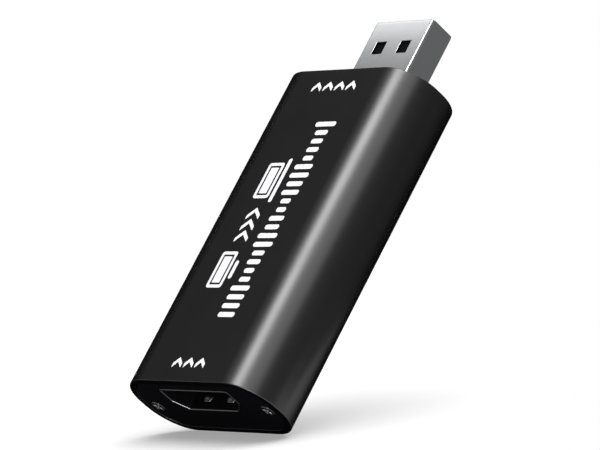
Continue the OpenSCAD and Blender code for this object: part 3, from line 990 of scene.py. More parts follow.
@dataclass
class PlateScrew:
    """Small countersunk screw with a cross for the driver and a cut thread."""

    shank_r: float = 0.7 * MM
    core_r: float = 0.56 * MM
    head_r: float = 1.1 * MM
    head_h: float = 0.6 * MM
    length: float = 5.0 * MM
    rim_r: float = 0.07 * MM
    rim_split: int = 3
    cross_l: float = 1.3 * MM
    cross_w: float = 0.34 * MM
    cross_h: float = 0.4 * MM
    cross_taper: float = 0.7
    cross_turn_deg: float = 45.0
    cross_edge: float = 0.05 * MM
    cross_corner: float = 0.05 * MM
    cross_steps: int = 2
    cross_arms: int = 4
    pitch: float = 0.3 * MM
    turns: int = 32
    rings_per_pitch: int = 6

    def cross(self, share: float) -> Loop:
        """Outline of the driver's cross.

        Args:
            share: Its share of the full size.

        Returns:
            The outline's points about the screw's axis.
        """
        arm, half = share * self.cross_l / 2, share * self.cross_w / 2
        quarter = [(half, -arm), (half, -half), (arm, -half)]
        corners = []
        for _ in range(self.cross_arms):
            corners += quarter
            quarter = [(-b, a) for a, b in quarter]
        turn = Matrix.Rotation(math.radians(self.cross_turn_deg), 2)
        turned = [tuple(turn @ Vector(corner)) for corner in corners]
        return round_corners(turned, [share * self.cross_corner] * len(turned), self.cross_steps)

    def thread(self, depth: float, angle: float) -> float:
        """Radius of the thread, with a run-out at both ends.

        Args:
            depth: Depth under the head's face.
            angle: Angle about the screw's axis.

        Returns:
            The radius there.
        """
        wave = abs(((depth / self.pitch - angle / math.tau) % 1.0) * 2 - 1)
        ends = min(depth - self.head_h, self.length - depth) / self.pitch
        return self.core_r + (self.shank_r - self.core_r) * wave * min(1.0, max(0.0, ends))

    def build(self, name: str, middle: Point, face: float, inward: int) -> Piece:
        """Makes one screw.

        Args:
            name: Name of the piece.
            middle: Place of its axis in X and Z.
            face: Place of its head's face along Y.
            inward: Way along Y from the face to the shank, 1 or -1.

        Returns:
            The screw.
        """
        solid = SolidMesh()
        angles = [math.tau * k / self.turns for k in range(self.turns)]

        def at(loop: Loop, depth: float) -> Ring:
            """Adds a ring of points about the screw's axis at a depth."""
            return solid.ring((middle[0] + a, face + inward * depth, middle[1] + b) for a, b in loop)

        def turned(radius: float, depth: float) -> Ring:
            """Adds a round ring."""
            return at(circle(radius, (0.0, 0.0), self.turns), depth)

        recess = [
            at(self.cross(1 + 2 * self.cross_edge / self.cross_w), 0.0),
            at(self.cross(1.0), self.cross_edge),
            at(self.cross(self.cross_taper), self.cross_h),
        ]
        rim_step = self.rim_r / self.rim_split
        head = [
            turned(self.head_r - self.rim_r, 0.0),
            turned(self.head_r - rim_step, rim_step),
            turned(self.head_r, self.rim_r),
            turned(self.core_r, self.head_h),
        ]
        count = round((self.length - self.head_h) / self.pitch * self.rings_per_pitch)
        shank = []
        for depth in spaced(self.head_h, self.length, count)[1:]:
            radii = [self.thread(depth, angle) for angle in angles]
            loop = [(r * math.cos(t), r * math.sin(t)) for r, t in zip(radii, angles)]
            shank.append(at(loop, depth))
        solid.skin(head + shank)
        solid.skin(recess)
        solid.fill(head[0], recess[0])
        solid.fill(recess[-1])
        solid.fill(shank[-1])
        return solid.piece(name)


@dataclass
class EndPlate:
    """Plate let into one end of the tube, with the connector's cut-out and two screws."""

    end: End
    low: Vector
    high: Vector
    cut_out: Outline
    screw_x: float
    screw_z: float
    corner_r: float = 4.7 * MM
    edge_r: float = 0.04 * MM
    cut_edge_r: float = 0.05 * MM
    screw_gap: float = 0.04 * MM
    steps: int = 4
    corner_steps: int = 20

    @property
    def face(self) -> float:
        """Place of the plate's outer face along Y."""
        return self.low.y if self.end is End.INPUT else self.high.y

    @property
    def back(self) -> float:
        """Place of the plate's inner face along Y."""
        return self.high.y if self.end is End.INPUT else self.low.y

    def build(self, screw: PlateScrew) -> Piece:
        """Makes the plate with rounded edges and countersunk holes.

        Args:
            screw: The screw that the holes take.

        Returns:
            The plate.
        """
        size = self.high - self.low
        middle = (0.0, (self.low.z + self.high.z) / 2)
        rim = rounded_rect(size.x, size.z, self.corner_r, middle, self.corner_steps)
        solid = SolidMesh()
        inward = self.end.value
        walls = [
            [*lip(rim, self.face, inward, self.edge_r, self.steps), (rim(0.0), self.back)],
            [
                *lip(self.cut_out, self.face, inward, self.cut_edge_r, self.steps, hole=True),
                (self.cut_out(0.0), self.back),
            ],
        ]
        for side in Side:
            centre = (side.value * self.screw_x, self.screw_z)
            port = circle(screw.shank_r + self.screw_gap, centre, screw.turns)
            wide = circle(screw.head_r + self.screw_gap, centre, screw.turns)
            walls.append([(wide, self.face), (port, self.face + inward * screw.head_h), (port, self.back)])
        rings = [[solid.end_ring(loop, y) for loop, y in wall] for wall in walls]
        for wall in rings:
            solid.skin(wall)
        solid.fill(*(wall[0] for wall in rings))
        solid.fill(*(wall[-1] for wall in rings))
        return solid.piece(f"{word(self.end)}_plate")

    def dress(self, finishes: Finishes) -> None:
        """Builds the plate and its screws and puts them in place of the solids.

        Args:
            finishes: The part's materials.
        """
        screw = PlateScrew()
        name = word(self.end)
        settle(self.build(screw), finishes["plate_black"], "plate_black", f"{name}_end_plate")
        for side in Side:
            middle = (side.value * self.screw_x, self.screw_z)
            made = screw.build(f"{name}_screw_{word(side)}", middle, self.face, self.end.value)
            settle(made, finishes["screw_steel"], "screw_steel", f"{name}_plate_screws")


def split_flats(inner: Loop, outer: Loop, stops: Sequence[float]) -> tuple[Loop, Loop]:
    """Adds points to both outlines of a bent sheet where its level stretches cross given places.

    Args:
        inner: The sheet's inner outline.
        outer: Its outer outline, point for point.
        stops: Places across X.

    Returns:
        The two outlines with the added points.
    """
    level = 1e-9
    new_inner, new_outer = [], []
    for i, (here, there) in enumerate(zip(inner, inner[1:] + inner[:1])):
        new_inner.append(here)
        new_outer.append(outer[i])
        if abs(here[1] - there[1]) > level:
            continue
        crossed = [s for s in stops if min(here[0], there[0]) < s < max(here[0], there[0])]
        for stop in sorted(crossed, reverse=there[0] < here[0]):
            new_inner.append((stop, here[1]))
            new_outer.append((stop, outer[i][1]))
    return new_inner, new_outer


def sheet_tube(
    solid: SolidMesh,
    outlines: Callable[[float], tuple[Loop, Loop]],
    stations: Sequence[Point],
    is_open: Callable[[float, float, float], bool],
) -> None:
    """Bends a sheet with openings into a tube along Y.

    Args:
        solid: Mesh that takes the sheet.
        outlines: Gives the inner and the outer outline, grown by a length.
        stations: Places along Y, each with the length that the outlines grow by there.
        is_open: Says whether the sheet is cut away at a point.
    """
    walls = [[solid.end_ring(outlines(grow)[k], y) for y, grow in stations] for k in (0, 1)]
    loop = outlines(0.0)[1]
    count = len(loop)

    def there(i: int, j: int) -> bool:
        """Whether the sheet has a cell.

        Args:
            i: The cell's number round the tube.
            j: Its number along the tube.

        Returns:
            False past the tube's ends and where the sheet is cut away.
        """
        if not 0 <= j < len(stations) - 1:
            return False
        a, b = loop[i % count], loop[(i + 1) % count]
        y = (stations[j][0] + stations[j + 1][0]) / 2
        return not is_open((a[0] + b[0]) / 2, y, (a[1] + b[1]) / 2)

    for j in range(len(stations) - 1):
        for i in range(count):
            if not there(i, j):
                continue
            k = (i + 1) % count
            corners = [(i, j), (k, j), (k, j + 1), (i, j + 1)]
            for wall in walls:
                solid.face(*(wall[b][a] for a, b in corners))
            beside = [(i, j - 1), (i + 1, j), (i, j + 1), (i - 1, j)]
            for (a, b), (c, d), cell in zip(corners, corners[1:] + corners[:1], beside):
                if not there(*cell):
                    solid.face(walls[0][b][a], walls[0][d][c], walls[1][d][c], walls[1][b][a])


@dataclass
class SpringFinger:
    """Retention spring of the input socket: a finger with a domed bump near its tip."""

    wall: Wall
    side: Side
    low: Vector
    high: Vector
    sheet_t: float = 0.3 * MM
    rise: float = 0.35 * MM
    bump_from_tip: float = 0.786 * MM
    bump_half: float = 0.86 * MM
    crown: float = 0.7
    tip_round: float = 0.9 * MM
    tip_narrowing: float = 0.4
    soft_edge: float = 0.1 * MM
    steps_along: int = 36
    steps_across: int = 12

    @property
    def name(self) -> str:
        """The finger's place in words, as it stands in names."""
        return f"{word(self.wall)}_{word(self.side)}"

    def height(self, x: float, y: float) -> float:
        """Height of the finger's inner face above the socket's wall, into the socket.

        Args:
            x: Place across the stick.
            y: Place along it.

        Returns:
            The height, 0 off the bump.
        """
        offset = (y - self.low.y - self.bump_from_tip) / self.bump_half
        if abs(offset) >= 1:
            return 0.0
        half = (self.high.x - self.low.x) / 2
        across = (x - (self.low.x + self.high.x) / 2) / half
        return self.rise * math.cos(math.pi / 2 * offset) ** 2 * (1 - self.crown * across**2)

    def build(self) -> Piece:
        """Makes the finger as a pressed sheet, bent in both directions over its bump.

        Returns:
            The finger.
        """
        into = -self.wall.value
        face = self.high.z - self.rise if self.wall is Wall.LOWER else self.low.z + self.rise
        middle, half = (self.low.x + self.high.x) / 2, (self.high.x - self.low.x) / 2
        solid = SolidMesh()
        grids = []
        for depth in (0.0, self.sheet_t):
            rows = []
            for y in spaced(self.low.y, self.high.y, self.steps_along):
                near_tip = max(0.0, 1 - (y - self.low.y) / self.tip_round)
                reach = half * (1 - self.tip_narrowing * near_tip**2)
                xs = [middle + reach * share for share in spaced(-1.0, 1.0, self.steps_across)]
                rows.append(solid.ring((x, y, face + into * (self.height(x, y) - depth)) for x in xs))
            grids.append(rows)
        for grid in grids:
            solid.skin(grid, closed=False)
        for k in (0, -1):
            solid.skin([grid[k] for grid in grids], closed=False)
        for k in (0, -1):
            solid.skin([[row[k] for row in grid] for grid in grids], closed=False)
        return solid.piece(f"socket_spring_{self.name}", soft_edge=self.soft_edge)

    def dress(self, finishes: Finishes) -> None:
        """Builds the finger and lets it ride on its own body."""
        node, body = f"spring_{self.name}", f"{self.name}_spring"
        settle(self.build(), finishes["socket_steel"], "socket_steel", node, body=body)


@dataclass
class InputSocket:
    """Metal shell of the video input socket and its four springs."""

    low: Vector
    high: Vector
    height: float = 4.55 * MM
    corner_cut: float = 2.0 * MM
    sheet_t: float = 0.3 * MM
    bend_r: float = 0.25 * MM
    plate_gap: float = 0.1 * MM
    finger_x: float = 2.45 * MM
    finger_half: float = 1.12 * MM
    slot_from: float = 1.23 * MM
    slot_to: float = 6.73 * MM
    leg_half: float = 0.6 * MM
    leg_places: Point = (3.2 * MM, 8.8 * MM)
    soft_edge: float = 0.09 * MM
    bend_steps: int = 5

    @property
    def top(self) -> float:
        """Height of the socket's inner upper face."""
        return self.high.z - self.sheet_t

    def outline(self, grow: float) -> Loop:
        """D outline of the socket's inside.

        Args:
            grow: Length that it grows by all round.

        Returns:
            The outline's points.
        """
        half = self.high.x - self.sheet_t + grow
        # At a bend of 45 degrees, a wall that moves out by grow shifts its corner by this much.
        turn = grow * math.tan(math.pi / 8)
        bottom = self.top - self.height
        side_z = bottom + self.corner_cut - turn
        foot = self.high.x - self.sheet_t - self.corner_cut + turn
        corners = [
            (half, side_z), (half, self.top + grow), (-half, self.top + grow), (-half, side_z),
            (-foot, bottom - grow), (foot, bottom - grow),
        ]
        return round_corners(corners, [self.bend_r + grow] * len(corners), self.bend_steps)

    def hole(self, grow: float) -> Loop:
        """Outline of the end plate's cut-out, with a gap round the shell, grown all round."""
        return self.outline(grow + self.sheet_t + self.plate_gap)

    def sheet_outlines(self, grow: float) -> tuple[Loop, Loop]:
        """Outlines of the shell, with points at the sides of the spring slots.

        Args:
            grow: Length that they grow by all round.

        Returns:
            The inner and the outer outline.
        """
        edges = [self.finger_x - self.finger_half, self.finger_x + self.finger_half]
        stops = [side.value * edge for side in Side for edge in edges]
        return split_flats(self.outline(grow), self.outline(grow + self.sheet_t), stops)

    def is_slot(self, x: float, y: float, z: float) -> bool:
        """Whether a point lies in one of the slots that free the springs.

        Args:
            x: Place of the point across the stick.
            y: Its place along the stick.
            z: Its height.

        Returns:
            True in a slot.
        """
        on_wall = z > self.top or z < self.top - self.height
        along = self.slot_from < y - self.low.y < self.slot_to
        return on_wall and along and abs(abs(x) - self.finger_x) < self.finger_half

    def leg(self, y: float) -> Loop:
        """Outline of a leg for the board, seen along X.

        Args:
            y: Place of the leg's middle.

        Returns:
            The outline's points in Y and Z.
        """
        top = self.top - self.height + self.corner_cut
        half, tip = self.leg_half, self.leg_half / 2
        return [
            (y - half, top), (y + half, top), (y + half, self.low.z + tip),
            (y + tip, self.low.z), (y - tip, self.low.z), (y - half, self.low.z + tip),
        ]

    def build_shell(self) -> Piece:
        """Makes the stamped shell with slots for the springs and legs for the board.

        Returns:
            The shell.
        """
        solid = SolidMesh()
        near, far = self.low.y, self.high.y
        stations = [(y, 0.0) for y in (near, near + self.slot_from, near + self.slot_to, far)]
        sheet_tube(solid, self.sheet_outlines, stations, self.is_slot)
        sides = (self.high.x - self.sheet_t, self.high.x)
        for side in Side:
            for place in self.leg_places:
                solid.prism([self.leg(near + place)], mirrored(side, Along.X), sides)
        return solid.piece("socket_shell", soft_edge=self.soft_edge)

    def dress(self, finishes: Finishes) -> None:
        """Builds the shell and the springs and puts them in place of the solids.

        Args:
            finishes: The part's materials.
        """
        settle(self.build_shell(), finishes["socket_steel"], "socket_steel", "input_socket_shell")
        for wall in Wall:
            for side in Side:
                node = f"spring_{word(wall)}_{word(side)}"
                SpringFinger(wall, side, *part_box(node)).dress(finishes)


@dataclass
class OutputPlug:
    """Steel shell of the computer plug, with windows above and below and a keyed seam below."""

    low: Vector
    high: Vector
    width: float = 12.0 * MM
    height: float = 4.5 * MM
    corner_r: float = 0.45 * MM
    sheet_t: float = 0.3 * MM
    plate_gap: float = 0.1 * MM
    window_x: float = 2.55 * MM
    window_half_w: float = 1.05 * MM
    window_half_l: float = 1.075 * MM
    window_from_tip: float = 4.7 * MM
    tip_bend: float = 0.05 * MM
    tip_length: float = 0.5 * MM
    seam_half: float = 0.03 * MM
    key_half: float = 0.9 * MM
    key_from_tip: Point = (8.6 * MM, 6.6 * MM)
    wing_from_rear: Point = (1.4 * MM, 4.0 * MM)
    wing_low: float = 4.5 * MM
    soft_edge: float = 0.05 * MM
    corner_steps: int = 8

    @property
    def middle_z(self) -> float:
        """Height of the plug's middle."""
        return (self.low.z + self.high.z) / 2

    def around(self, gap: float) -> Outline:
        """Outline of the shell's outside with a gap round it.

        Args:
            gap: The gap.

        Returns:
            A function that gives the outline's points when it is grown by a length.
        """
        return rounded_rect(
            self.width + 2 * gap, self.height + 2 * gap, self.corner_r + gap, (0.0, self.middle_z),
            self.corner_steps,
        )

    def hole(self, grow: float) -> Loop:
        """Outline of the end plate's cut-out, with a gap round the shell, grown all round."""
        return self.around(self.plate_gap)(grow)

    def sheet_outlines(self, grow: float) -> tuple[Loop, Loop]:
        """Outlines of the shell, with points at the windows' sides and the seam.

        Args:
            grow: Length that they grow by all round.

        Returns:
            The inner and the outer outline.
        """
        outer = self.around(0.0)
        half, key = self.seam_half, self.key_half
        edges = [
            half, key - half, key + half, self.window_x - self.window_half_w,
            self.window_x + self.window_half_w,
        ]
        stops = [side.value * edge for side in Side for edge in edges]
        return split_flats(outer(grow - self.sheet_t), outer(grow), stops)

    def is_cut(self, x: float, y: float, z: float) -> bool:
        """Whether a point lies in a window or in the seam.

        Args:
            x: Place of the point across the stick.
            y: Its place along the stick.
            z: Its height.

        Returns:
            True where the sheet is cut away.
        """
        from_tip = self.high.y - y
        flat = abs(z - self.middle_z) > self.height / 2 - self.sheet_t
        window = abs(abs(x) - self.window_x) < self.window_half_w
        if flat and window and abs(from_tip - self.window_from_tip) < self.window_half_l:
            return True
        if not flat or z > self.middle_z:
            return False
        rear, front = self.key_from_tip
        if front + self.seam_half < from_tip < rear - self.seam_half:
            return abs(abs(x) - self.key_half) < self.seam_half
        if front - self.seam_half < from_tip < rear + self.seam_half:
            return abs(x) < self.key_half + self.seam_half
        return abs(x) < self.seam_half

    def build_shell(self) -> Piece:
        """Makes the shell with its windows, its seam, its drawn-in tip and its solder wings.

        Returns:
            The shell.
        """
        tip = self.high.y
        middle = tip - self.window_from_tip
        keys = [tip - place + way * self.seam_half for place in self.key_from_tip for way in (-1, 1)]
        places = [self.low.y, *keys, middle - self.window_half_l, middle + self.window_half_l]
        stations = [(y, 0.0) for y in (*places, tip - self.tip_length)] + [(tip, -self.tip_bend)]
        solid = SolidMesh()
        sheet_tube(solid, self.sheet_outlines, stations, self.is_cut)
        rear, front = (self.low.y + place for place in self.wing_from_rear)
        inside = self.width / 2 - self.sheet_t / 2
        wing = [(inside, rear), (self.high.x, rear), (self.high.x, front), (inside, front)]
        for side in Side:
            solid.prism([wing], mirrored(side, Along.Z), (self.wing_low, self.wing_low + self.sheet_t))
        return solid.piece(PLUG_SHELL, soft_edge=self.soft_edge)

    def dress(self, finishes: Finishes) -> None:
        """Builds the shell and puts it in place of the solid."""
        settle(self.build_shell(), finishes["plug_steel"], "plug_steel", "output_plug_shell")


@dataclass
class TopPrint:
    """White marks on the tube's upper face.

    Chevrons stand at both ends. Between them a screen feeds a laptop beside a row of signal bars.
    """

    top: float
    thickness: float
    row_x: float = -2.85 * MM
    row_y: float = -17.2 * MM
    mark_h: float = 4.4 * MM
    screen_w: float = 6.0 * MM
    border: float = 0.5 * MM
    border_gap: float = 0.32 * MM
    foot_h: float = 0.7 * MM
    foot_gap: float = 0.45 * MM
    foot_span: Point = (0.25, 0.75)
    feed_count: int = 3
    feed_pitch: float = 1.9 * MM
    feed_w: float = 2.7 * MM
    feed_l: float = 2.0 * MM
    chevron_w: float = 1.9 * MM
    chevron_l: float = 1.7 * MM
    chevron_line: float = 0.75 * MM
    chevron_pitch: float = 2.4 * MM
    chevron_corner: float = 0.06 * MM
    chevron_steps: int = 2
    input_y: float = -29.5 * MM
    input_count: int = 3
    output_y: float = 16.9 * MM
    output_count: int = 4
    bars_x: float = 2.4 * MM
    bars_y: float = -22.0 * MM
    bar_w: float = 0.8 * MM
    bar_pitch: float = 1.45 * MM
    bar_count: int = 23
    wave_mean: float = 0.68
    waves: tuple[Wave, ...] = ((0.2, 0.9, 0.0), (0.12, 2.3, 1.0))
    corner_r: float = 0.45 * MM
    least_corner_r: float = 0.1 * MM
    width_to_end_r: float = 2.1
    corner_steps: int = 4

    @property
    def depths(self) -> Point:
        """Heights of the ink's two faces."""
        return self.top - self.thickness, self.top

    @property
    def laptop_start(self) -> float:
        """Place of the laptop along the row."""
        return self.screen_w + (self.feed_count + 1) * self.feed_pitch + 2 * self.foot_h

    def in_row(self, p: Point, z: float) -> Vector:
        """Place on the upper face, with the outline's first axis along Y and its second towards -X."""
        return Vector((self.row_x - p[1], self.row_y + p[0], z))

    def bar(self, low: Point, high: Point, radius: float) -> Loop:
        """Outline of a bar between two corners, with round corners."""
        middle = ((low[0] + high[0]) / 2, (low[1] + high[1]) / 2)
        return rounded_rect(high[0] - low[0], high[1] - low[1], radius, middle, self.corner_steps)(0.0)

    def chevron(self, middle: Point, width: float, length: float) -> Loop:
        """Outline of one chevron that points along its second axis.

        Args:
            middle: Centre of the chevron.
            width: Its size along the first axis.
            length: Its size along the second axis.

        Returns:
            The outline's points.
        """
        half, rise, line = width / 2, length / 2, self.chevron_line
        corners = [
            (-half, -rise), (0.0, rise - line), (half, -rise), (half, -rise + line), (0.0, rise),
            (-half, -rise + line),
        ]
        moved = [(middle[0] + a, middle[1] + b) for a, b in corners]
        return round_corners(moved, [self.chevron_corner] * len(moved), self.chevron_steps)

    def build_chevrons(self, name: str, y: float, count: int) -> Piece:
        """Makes a row of chevrons across the stick that point towards the plug.

        Args:
            name: Name of the piece.
            y: Place of the row along the stick.
            count: Count of chevrons.

        Returns:
            The row.
        """
        solid = SolidMesh()
        for x in centred(count, self.chevron_pitch):
            loop = self.chevron((x, y), self.chevron_w, self.chevron_l)
            solid.prism([loop], mirrored(Side.RIGHT, Along.Z), self.depths)
        return solid.piece(name)

    def add_panel(self, solid: SolidMesh, start: float) -> None:
        """Adds a display with a thin gap inside its border, above the room for a foot.

        Args:
            solid: Mesh that takes the display.
            start: Place of its first side along the row.
        """
        half = self.mark_h / 2
        low = (start, -half + self.foot_h + self.foot_gap)
        high = (start + self.screen_w, half)
        loops = []
        for inset in (0.0, self.border, self.border + self.border_gap):
            near, far = (low[0] + inset, low[1] + inset), (high[0] - inset, high[1] - inset)
            loops.append(self.bar(near, far, max(self.corner_r - inset, self.least_corner_r)))
        solid.prism(loops[:2], self.in_row, self.depths)
        solid.prism(loops[2:], self.in_row, self.depths)

    def add_foot(self, solid: SolidMesh, start: float, stop: float) -> None:
        """Adds a bar under a display.

        Args:
            solid: Mesh that takes the bar.
            start: Place of its first end along the row.
            stop: Place of its last end.
        """
        low = -self.mark_h / 2
        loop = self.bar((start, low), (stop, low + self.foot_h), self.foot_h / self.width_to_end_r)
        solid.prism([loop], self.in_row, self.depths)

    def build_screen(self) -> Piece:
        """Makes the screen on its short foot.

        Returns:
            The screen.
        """
        solid = SolidMesh()
        self.add_panel(solid, 0.0)
        self.add_foot(solid, *(self.screen_w * share for share in self.foot_span))
        return solid.piece("print_screen")

    def build_feed(self) -> Piece:
        """Makes the chevrons that lead from the screen to the laptop.

        Returns:
            The chevrons.
        """
        solid = SolidMesh()
        middle = (self.screen_w + self.laptop_start) / 2
        for offset in centred(self.feed_count, self.feed_pitch):
            loop = self.chevron((0.0, middle + offset), self.feed_w, self.feed_l)
            solid.prism([[(b, -a) for a, b in loop]], self.in_row, self.depths)
        return solid.piece("print_feed")

    def build_laptop(self) -> Piece:
        """Makes the laptop, seen from the front.

        Returns:
            The laptop.
        """
        solid = SolidMesh()
        start = self.laptop_start
        self.add_panel(solid, start)
        self.add_foot(solid, start - self.foot_h, start + self.screen_w + self.foot_h)
        return solid.piece("print_laptop")

    def build_bars(self) -> Piece:
        """Makes a row of bars whose lengths follow two waves, as a picture signal's do.

        Returns:
            The row.
        """
        solid = SolidMesh()
        radius = self.bar_w / self.width_to_end_r
        for k in range(self.bar_count):
            swings = (size * math.sin(rate * k + shift) for size, rate, shift in self.waves)
            half = sum(swings, start=self.wave_mean) * self.mark_h / 2
            y = self.bars_y + k * self.bar_pitch
            loop = self.bar((self.bars_x - half, y), (self.bars_x + half, y + self.bar_w), radius)
            solid.prism([loop], mirrored(Side.RIGHT, Along.Z), self.depths)
        return solid.piece("print_signal_bars")

    def dress(self, finishes: Finishes) -> None:
        """Prints every mark on the tube.

        Args:
            finishes: The part's materials.
        """
        marks = [
            self.build_chevrons("print_input_chevrons", self.input_y, self.input_count),
            self.build_chevrons("print_output_chevrons", self.output_y, self.output_count),
            self.build_screen(),
            self.build_feed(),
            self.build_laptop(),
            self.build_bars(),
        ]
        for mark in marks:
            settle(mark, finishes.ink, None)


@dataclass
class CarriedParts:
    """Board, contacts and components whose solids stay, with rounded edges and their own finishes."""

    soft_edge: float = 0.025 * MM
    merge_within: float = 0.0005 * MM
    flat_deg: float = 1.0
    sharp_deg: float = 35.0

    def soften(self, piece: Piece) -> None:
        """Rounds a solid's edges without touching its own mesh.

        Args:
            piece: The solid.
        """
        piece.modifiers.new("one_skin", "WELD").merge_threshold = self.merge_within
        flats = piece.modifiers.new("whole_flats", "DECIMATE")
        flats.decimate_type = "DISSOLVE"
        flats.angle_limit = math.radians(self.flat_deg)
        bevel_edges(piece, self.soft_edge, self.sharp_deg)
        even_shading(piece)

    def dress(self, finishes: Finishes) -> None:
        """Finishes every solid that still shows by the slot that the record gives it.

        Args:
            finishes: The part's materials.
        """
        for part in frame["record"]["subparts"]:
            piece = frame["nodes"][part["node"]]
            if piece.hide_render:
                continue
            self.soften(piece)
            piece.data.materials.clear()
            piece.data.materials.append(finishes[part["material_slot"]])
            log.info("%s stays in %s", piece.name, part["material_slot"])


@dataclass(frozen=True)
class SoftLamp:
    """Rectangular studio lamp that faces the object and isn't seen itself."""

    name: str
    towards: Direction
    distance: float
    across: float
    along: float
    radiance: float
    aim: Spot = BODY_MIDDLE
    turn_deg: float = 0.0
    lights: Lit = Lit.OBJECT
    spares: tuple[str, ...] = ()

    def build(self, floor: Piece) -> None:
        """Places the lamp with its long side as near to Y as its direction and turn allow.

        Args:
            floor: The floor, which alone takes a floor lamp's light, and takes or stops no other's.
        """
        data = bpy.data.lights.new(self.name, "AREA")
        data.shape = "RECTANGLE"
        data.size, data.size_y = self.across, self.along
        data.energy = self.radiance * math.pi * self.across * self.along
        lamp = bpy.data.objects.new(self.name, data)
        bpy.context.scene.collection.objects.link(lamp)
        back = Vector(self.towards).normalized()
        right = Vector((0.0, 1.0, 0.0)).cross(back).normalized()
        turn = Matrix((right, back.cross(right), back)).transposed()
        turn = turn @ Matrix.Rotation(math.radians(self.turn_deg), 3, "Z")
        lamp.matrix_world = Matrix.Translation(Vector(self.aim) + back * self.distance) @ turn.to_4x4()
        lamp.visible_camera = False
        reach = bpy.data.collections.new(f"{self.name}_reach")
        for piece in (floor, *(bpy.data.objects[name] for name in self.spares)):
            reach.objects.link(piece)
        for entry in reach.collection_objects:
            entry.light_linking.link_state = self.lights.value
        lamp.light_linking.receiver_collection = reach
        if self.lights is Lit.OBJECT:
            lamp.light_linking.blocker_collection = reach


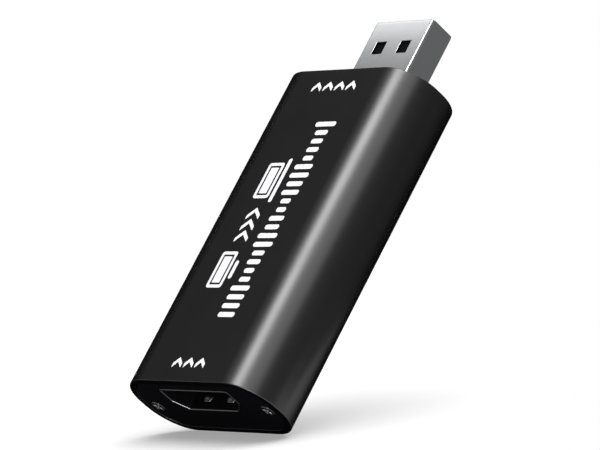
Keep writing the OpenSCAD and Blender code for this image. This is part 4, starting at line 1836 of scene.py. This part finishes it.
@dataclass
class Studio:
    """Camera, floor, lamps and world."""

    azimuth_deg: float = 63.10
    elevation_deg: float = 32.56
    roll_deg: float = 47.24
    distance: float = 566.98 * MM
    target: Spot = (-1.04 * MM, -2.217 * MM, 6.282 * MM)
    lens: float = 244.55
    sensor_w: float = 36.0
    clip: Point = (0.01, 10.0)
    lean_deg: float = 47.0
    floor_depths: Point = (-0.3, 0.25)
    floor_margin: float = 1.1
    floor_colour: Colour = (0.8, 0.8, 0.8)
    floor_roughness: float = 0.9
    floor_glow: float = 0.3
    world_colour: Colour = (1.0, 1.0, 1.0)
    world_heights: Point = (-0.6, 0.6)
    world_levels: Point = (0.18, 0.27)
    lamps: tuple[SoftLamp, ...] = (
        SoftLamp(
            "floor_light", towards=(0.0, 0.9, 0.43), distance=0.5, across=1.0, along=1.0,
            radiance=1.7, lights=Lit.FLOOR,
        ),
        SoftLamp(
            "top_light", towards=(-0.1, 0.985, 0.12), distance=0.8, across=0.7, along=0.7,
            radiance=4.2,
        ),
        SoftLamp(
            "shoulder_strip", towards=(0.035, 0.38, 0.925), distance=0.5, across=0.175, along=0.3,
            radiance=10.9,
        ),
        SoftLamp(
            "shoulder_fill", towards=(0.55, 0.38, 0.74), distance=0.5, across=0.36, along=0.3,
            radiance=1.5, spares=(PLUG_SHELL,),
        ),
        SoftLamp(
            "plug_card", towards=(-0.75, 0.38, 0.54), distance=0.1, across=0.05, along=0.02,
            radiance=1.4, aim=(0.0, 48.5 * MM, 7.3 * MM), turn_deg=28.0,
        ),
        SoftLamp(
            "front_card", towards=(-0.75, -0.41, 0.52), distance=0.3, across=0.09, along=0.09,
            radiance=1.0, aim=INPUT_END,
        ),
        SoftLamp(
            "rim_card", towards=(0.16, -0.9, 0.37), distance=0.3, across=0.09, along=0.09,
            radiance=28.0, aim=INPUT_END,
        ),
    )

    @property
    def view_axes(self) -> Matrix:
        """The camera's axes.

        Returns:
            A matrix whose columns point right, up and back.
        """
        a, e = math.radians(self.azimuth_deg), math.radians(self.elevation_deg)
        back = Vector((math.sin(a) * math.cos(e), -math.cos(a) * math.cos(e), math.sin(e)))
        level = Vector((0.0, 0.0, 1.0)).cross(back).normalized()
        up = back.cross(level)
        r = math.radians(self.roll_deg)
        right = level * math.cos(r) - up * math.sin(r)
        return Matrix((right, back.cross(right), back)).transposed()

    def build_camera(self) -> None:
        """Sets up the camera at the photograph's viewing angle."""
        data = bpy.data.cameras.new("camera")
        data.lens, data.sensor_width = self.lens, self.sensor_w
        data.clip_start, data.clip_end = self.clip
        camera = bpy.data.objects.new("camera", data)
        bpy.context.scene.collection.objects.link(camera)
        axes = self.view_axes
        place = Vector(self.target) + axes.col[2] * self.distance
        camera.matrix_world = Matrix.Translation(place) @ axes.to_4x4()
        bpy.context.scene.camera = camera

    def build_floor(self) -> Piece:
        """Makes the pale floor that the stick leans over, standing on the lower edge of its input end.

        Returns:
            The floor, as wide as the camera sees at each distance and a little more.
        """
        lean = math.radians(self.lean_deg)
        normal = Vector((0.0, math.sin(lean), math.cos(lean)))
        away = normal.cross(self.view_axes.col[0]).normalized()
        right = away.cross(normal)
        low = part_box("shell_tube")[0]
        touch = Vector((0.0, low.y, low.z))
        solid = SolidMesh()
        spread = self.floor_margin * self.sensor_w / 2 / self.lens
        near, far = ((depth, spread * (self.distance + depth)) for depth in self.floor_depths)
        corners = [(near[0], -near[1]), (near[0], near[1]), (far[0], far[1]), (far[0], -far[1])]
        solid.face(*solid.ring(touch + right * half + away * depth for depth, half in corners))
        floor = solid.piece("floor")
        if floor.data.polygons[0].normal.dot(normal) < 0:
            floor.data.flip_normals()
        floor.data.materials.append(self.floor_material())
        return floor

    def floor_material(self) -> bpy.types.Material:
        """Makes a matt white that keeps the shadow, shows in reflections and is clear from behind.

        Returns:
            The material.
        """
        made, sheet, shader = new_material("floor_white")
        values = {
            "Base Color": self.floor_colour,
            "Roughness": self.floor_roughness,
            "Specular IOR Level": 0.0,
        }
        sheet.feed(shader, values)
        path = sheet.add("ShaderNodeLightPath").outputs
        seen = sheet.math("MAXIMUM", path["Is Camera Ray"], path["Is Glossy Ray"])
        seen = sheet.math("MAXIMUM", seen, path["Is Transmission Ray"])
        glow = sheet.add("ShaderNodeEmission", {"Strength": sheet.math("MULTIPLY", seen, self.floor_glow)})
        both = sheet.combine("ShaderNodeAddShader", shader.outputs[0], glow.outputs[0])
        behind = sheet.add("ShaderNodeNewGeometry").outputs["Backfacing"]
        clear = sheet.add("ShaderNodeBsdfTransparent")
        sides = sheet.combine("ShaderNodeMixShader", behind, both.outputs[0], clear.outputs[0])
        sheet.feed(made.node_tree.nodes["Material Output"], {"Surface": sides.outputs[0]})
        return made

    def build_world(self) -> None:
        """Sets up a world that the camera sees as white and metal as dim, brighter towards the top."""
        world = bpy.data.worlds.new("surroundings")
        bpy.context.scene.world = world
        world.use_nodes = True
        sheet = NodeSheet(world.node_tree)
        where = sheet.add("ShaderNodeTexCoord").outputs["Generated"]
        height = sheet.add("ShaderNodeSeparateXYZ", {"Vector": where}).outputs["Z"]
        level = sheet.ramp(height, self.world_heights, self.world_levels)
        path = sheet.add("ShaderNodeLightPath").outputs
        seen = sheet.math("MAXIMUM", path["Is Camera Ray"], path["Is Transmission Ray"])
        values = {"Color": self.world_colour, "Strength": sheet.math("MAXIMUM", seen, level)}
        sheet.feed(world.node_tree.nodes["Background"], values)

    def build(self) -> None:
        """Sets up everything around the object."""
        bpy.context.scene.view_settings.view_transform = "Standard"
        self.build_camera()
        floor = self.build_floor()
        for lamp in self.lamps:
            lamp.build(floor)
        self.build_world()


def main() -> None:
    """Builds every sub-assembly in order, then the studio."""
    logging.basicConfig(level=logging.INFO, format="%(message)s")
    finishes = Finishes()
    tube_low, tube_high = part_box("shell_tube")
    board_low, board_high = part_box("circuit_board")
    screws_low, screws_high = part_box("input_plate_screws")
    screw_x = screws_high.x - PlateScrew.head_r
    screw_z = (screws_low.z + screws_high.z) / 2
    tube = Tube(tube_low, tube_high, screw_x, screw_z, board_low.z, board_high.z, board_high.x)
    socket = InputSocket(*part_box("input_socket_shell"))
    plug = OutputPlug(*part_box("output_plug_shell"))
    input_plate = EndPlate(End.INPUT, *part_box("input_end_plate"), socket.hole, screw_x, screw_z)
    output_plate = EndPlate(End.OUTPUT, *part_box("output_end_plate"), plug.hole, screw_x, screw_z)
    top_print = TopPrint(tube_high.z, tube.print_t)
    for part in (tube, input_plate, output_plate, socket, plug, top_print, CarriedParts()):
        part.dress(finishes)
    Studio().build()


if __name__ == "__main__":
    main()
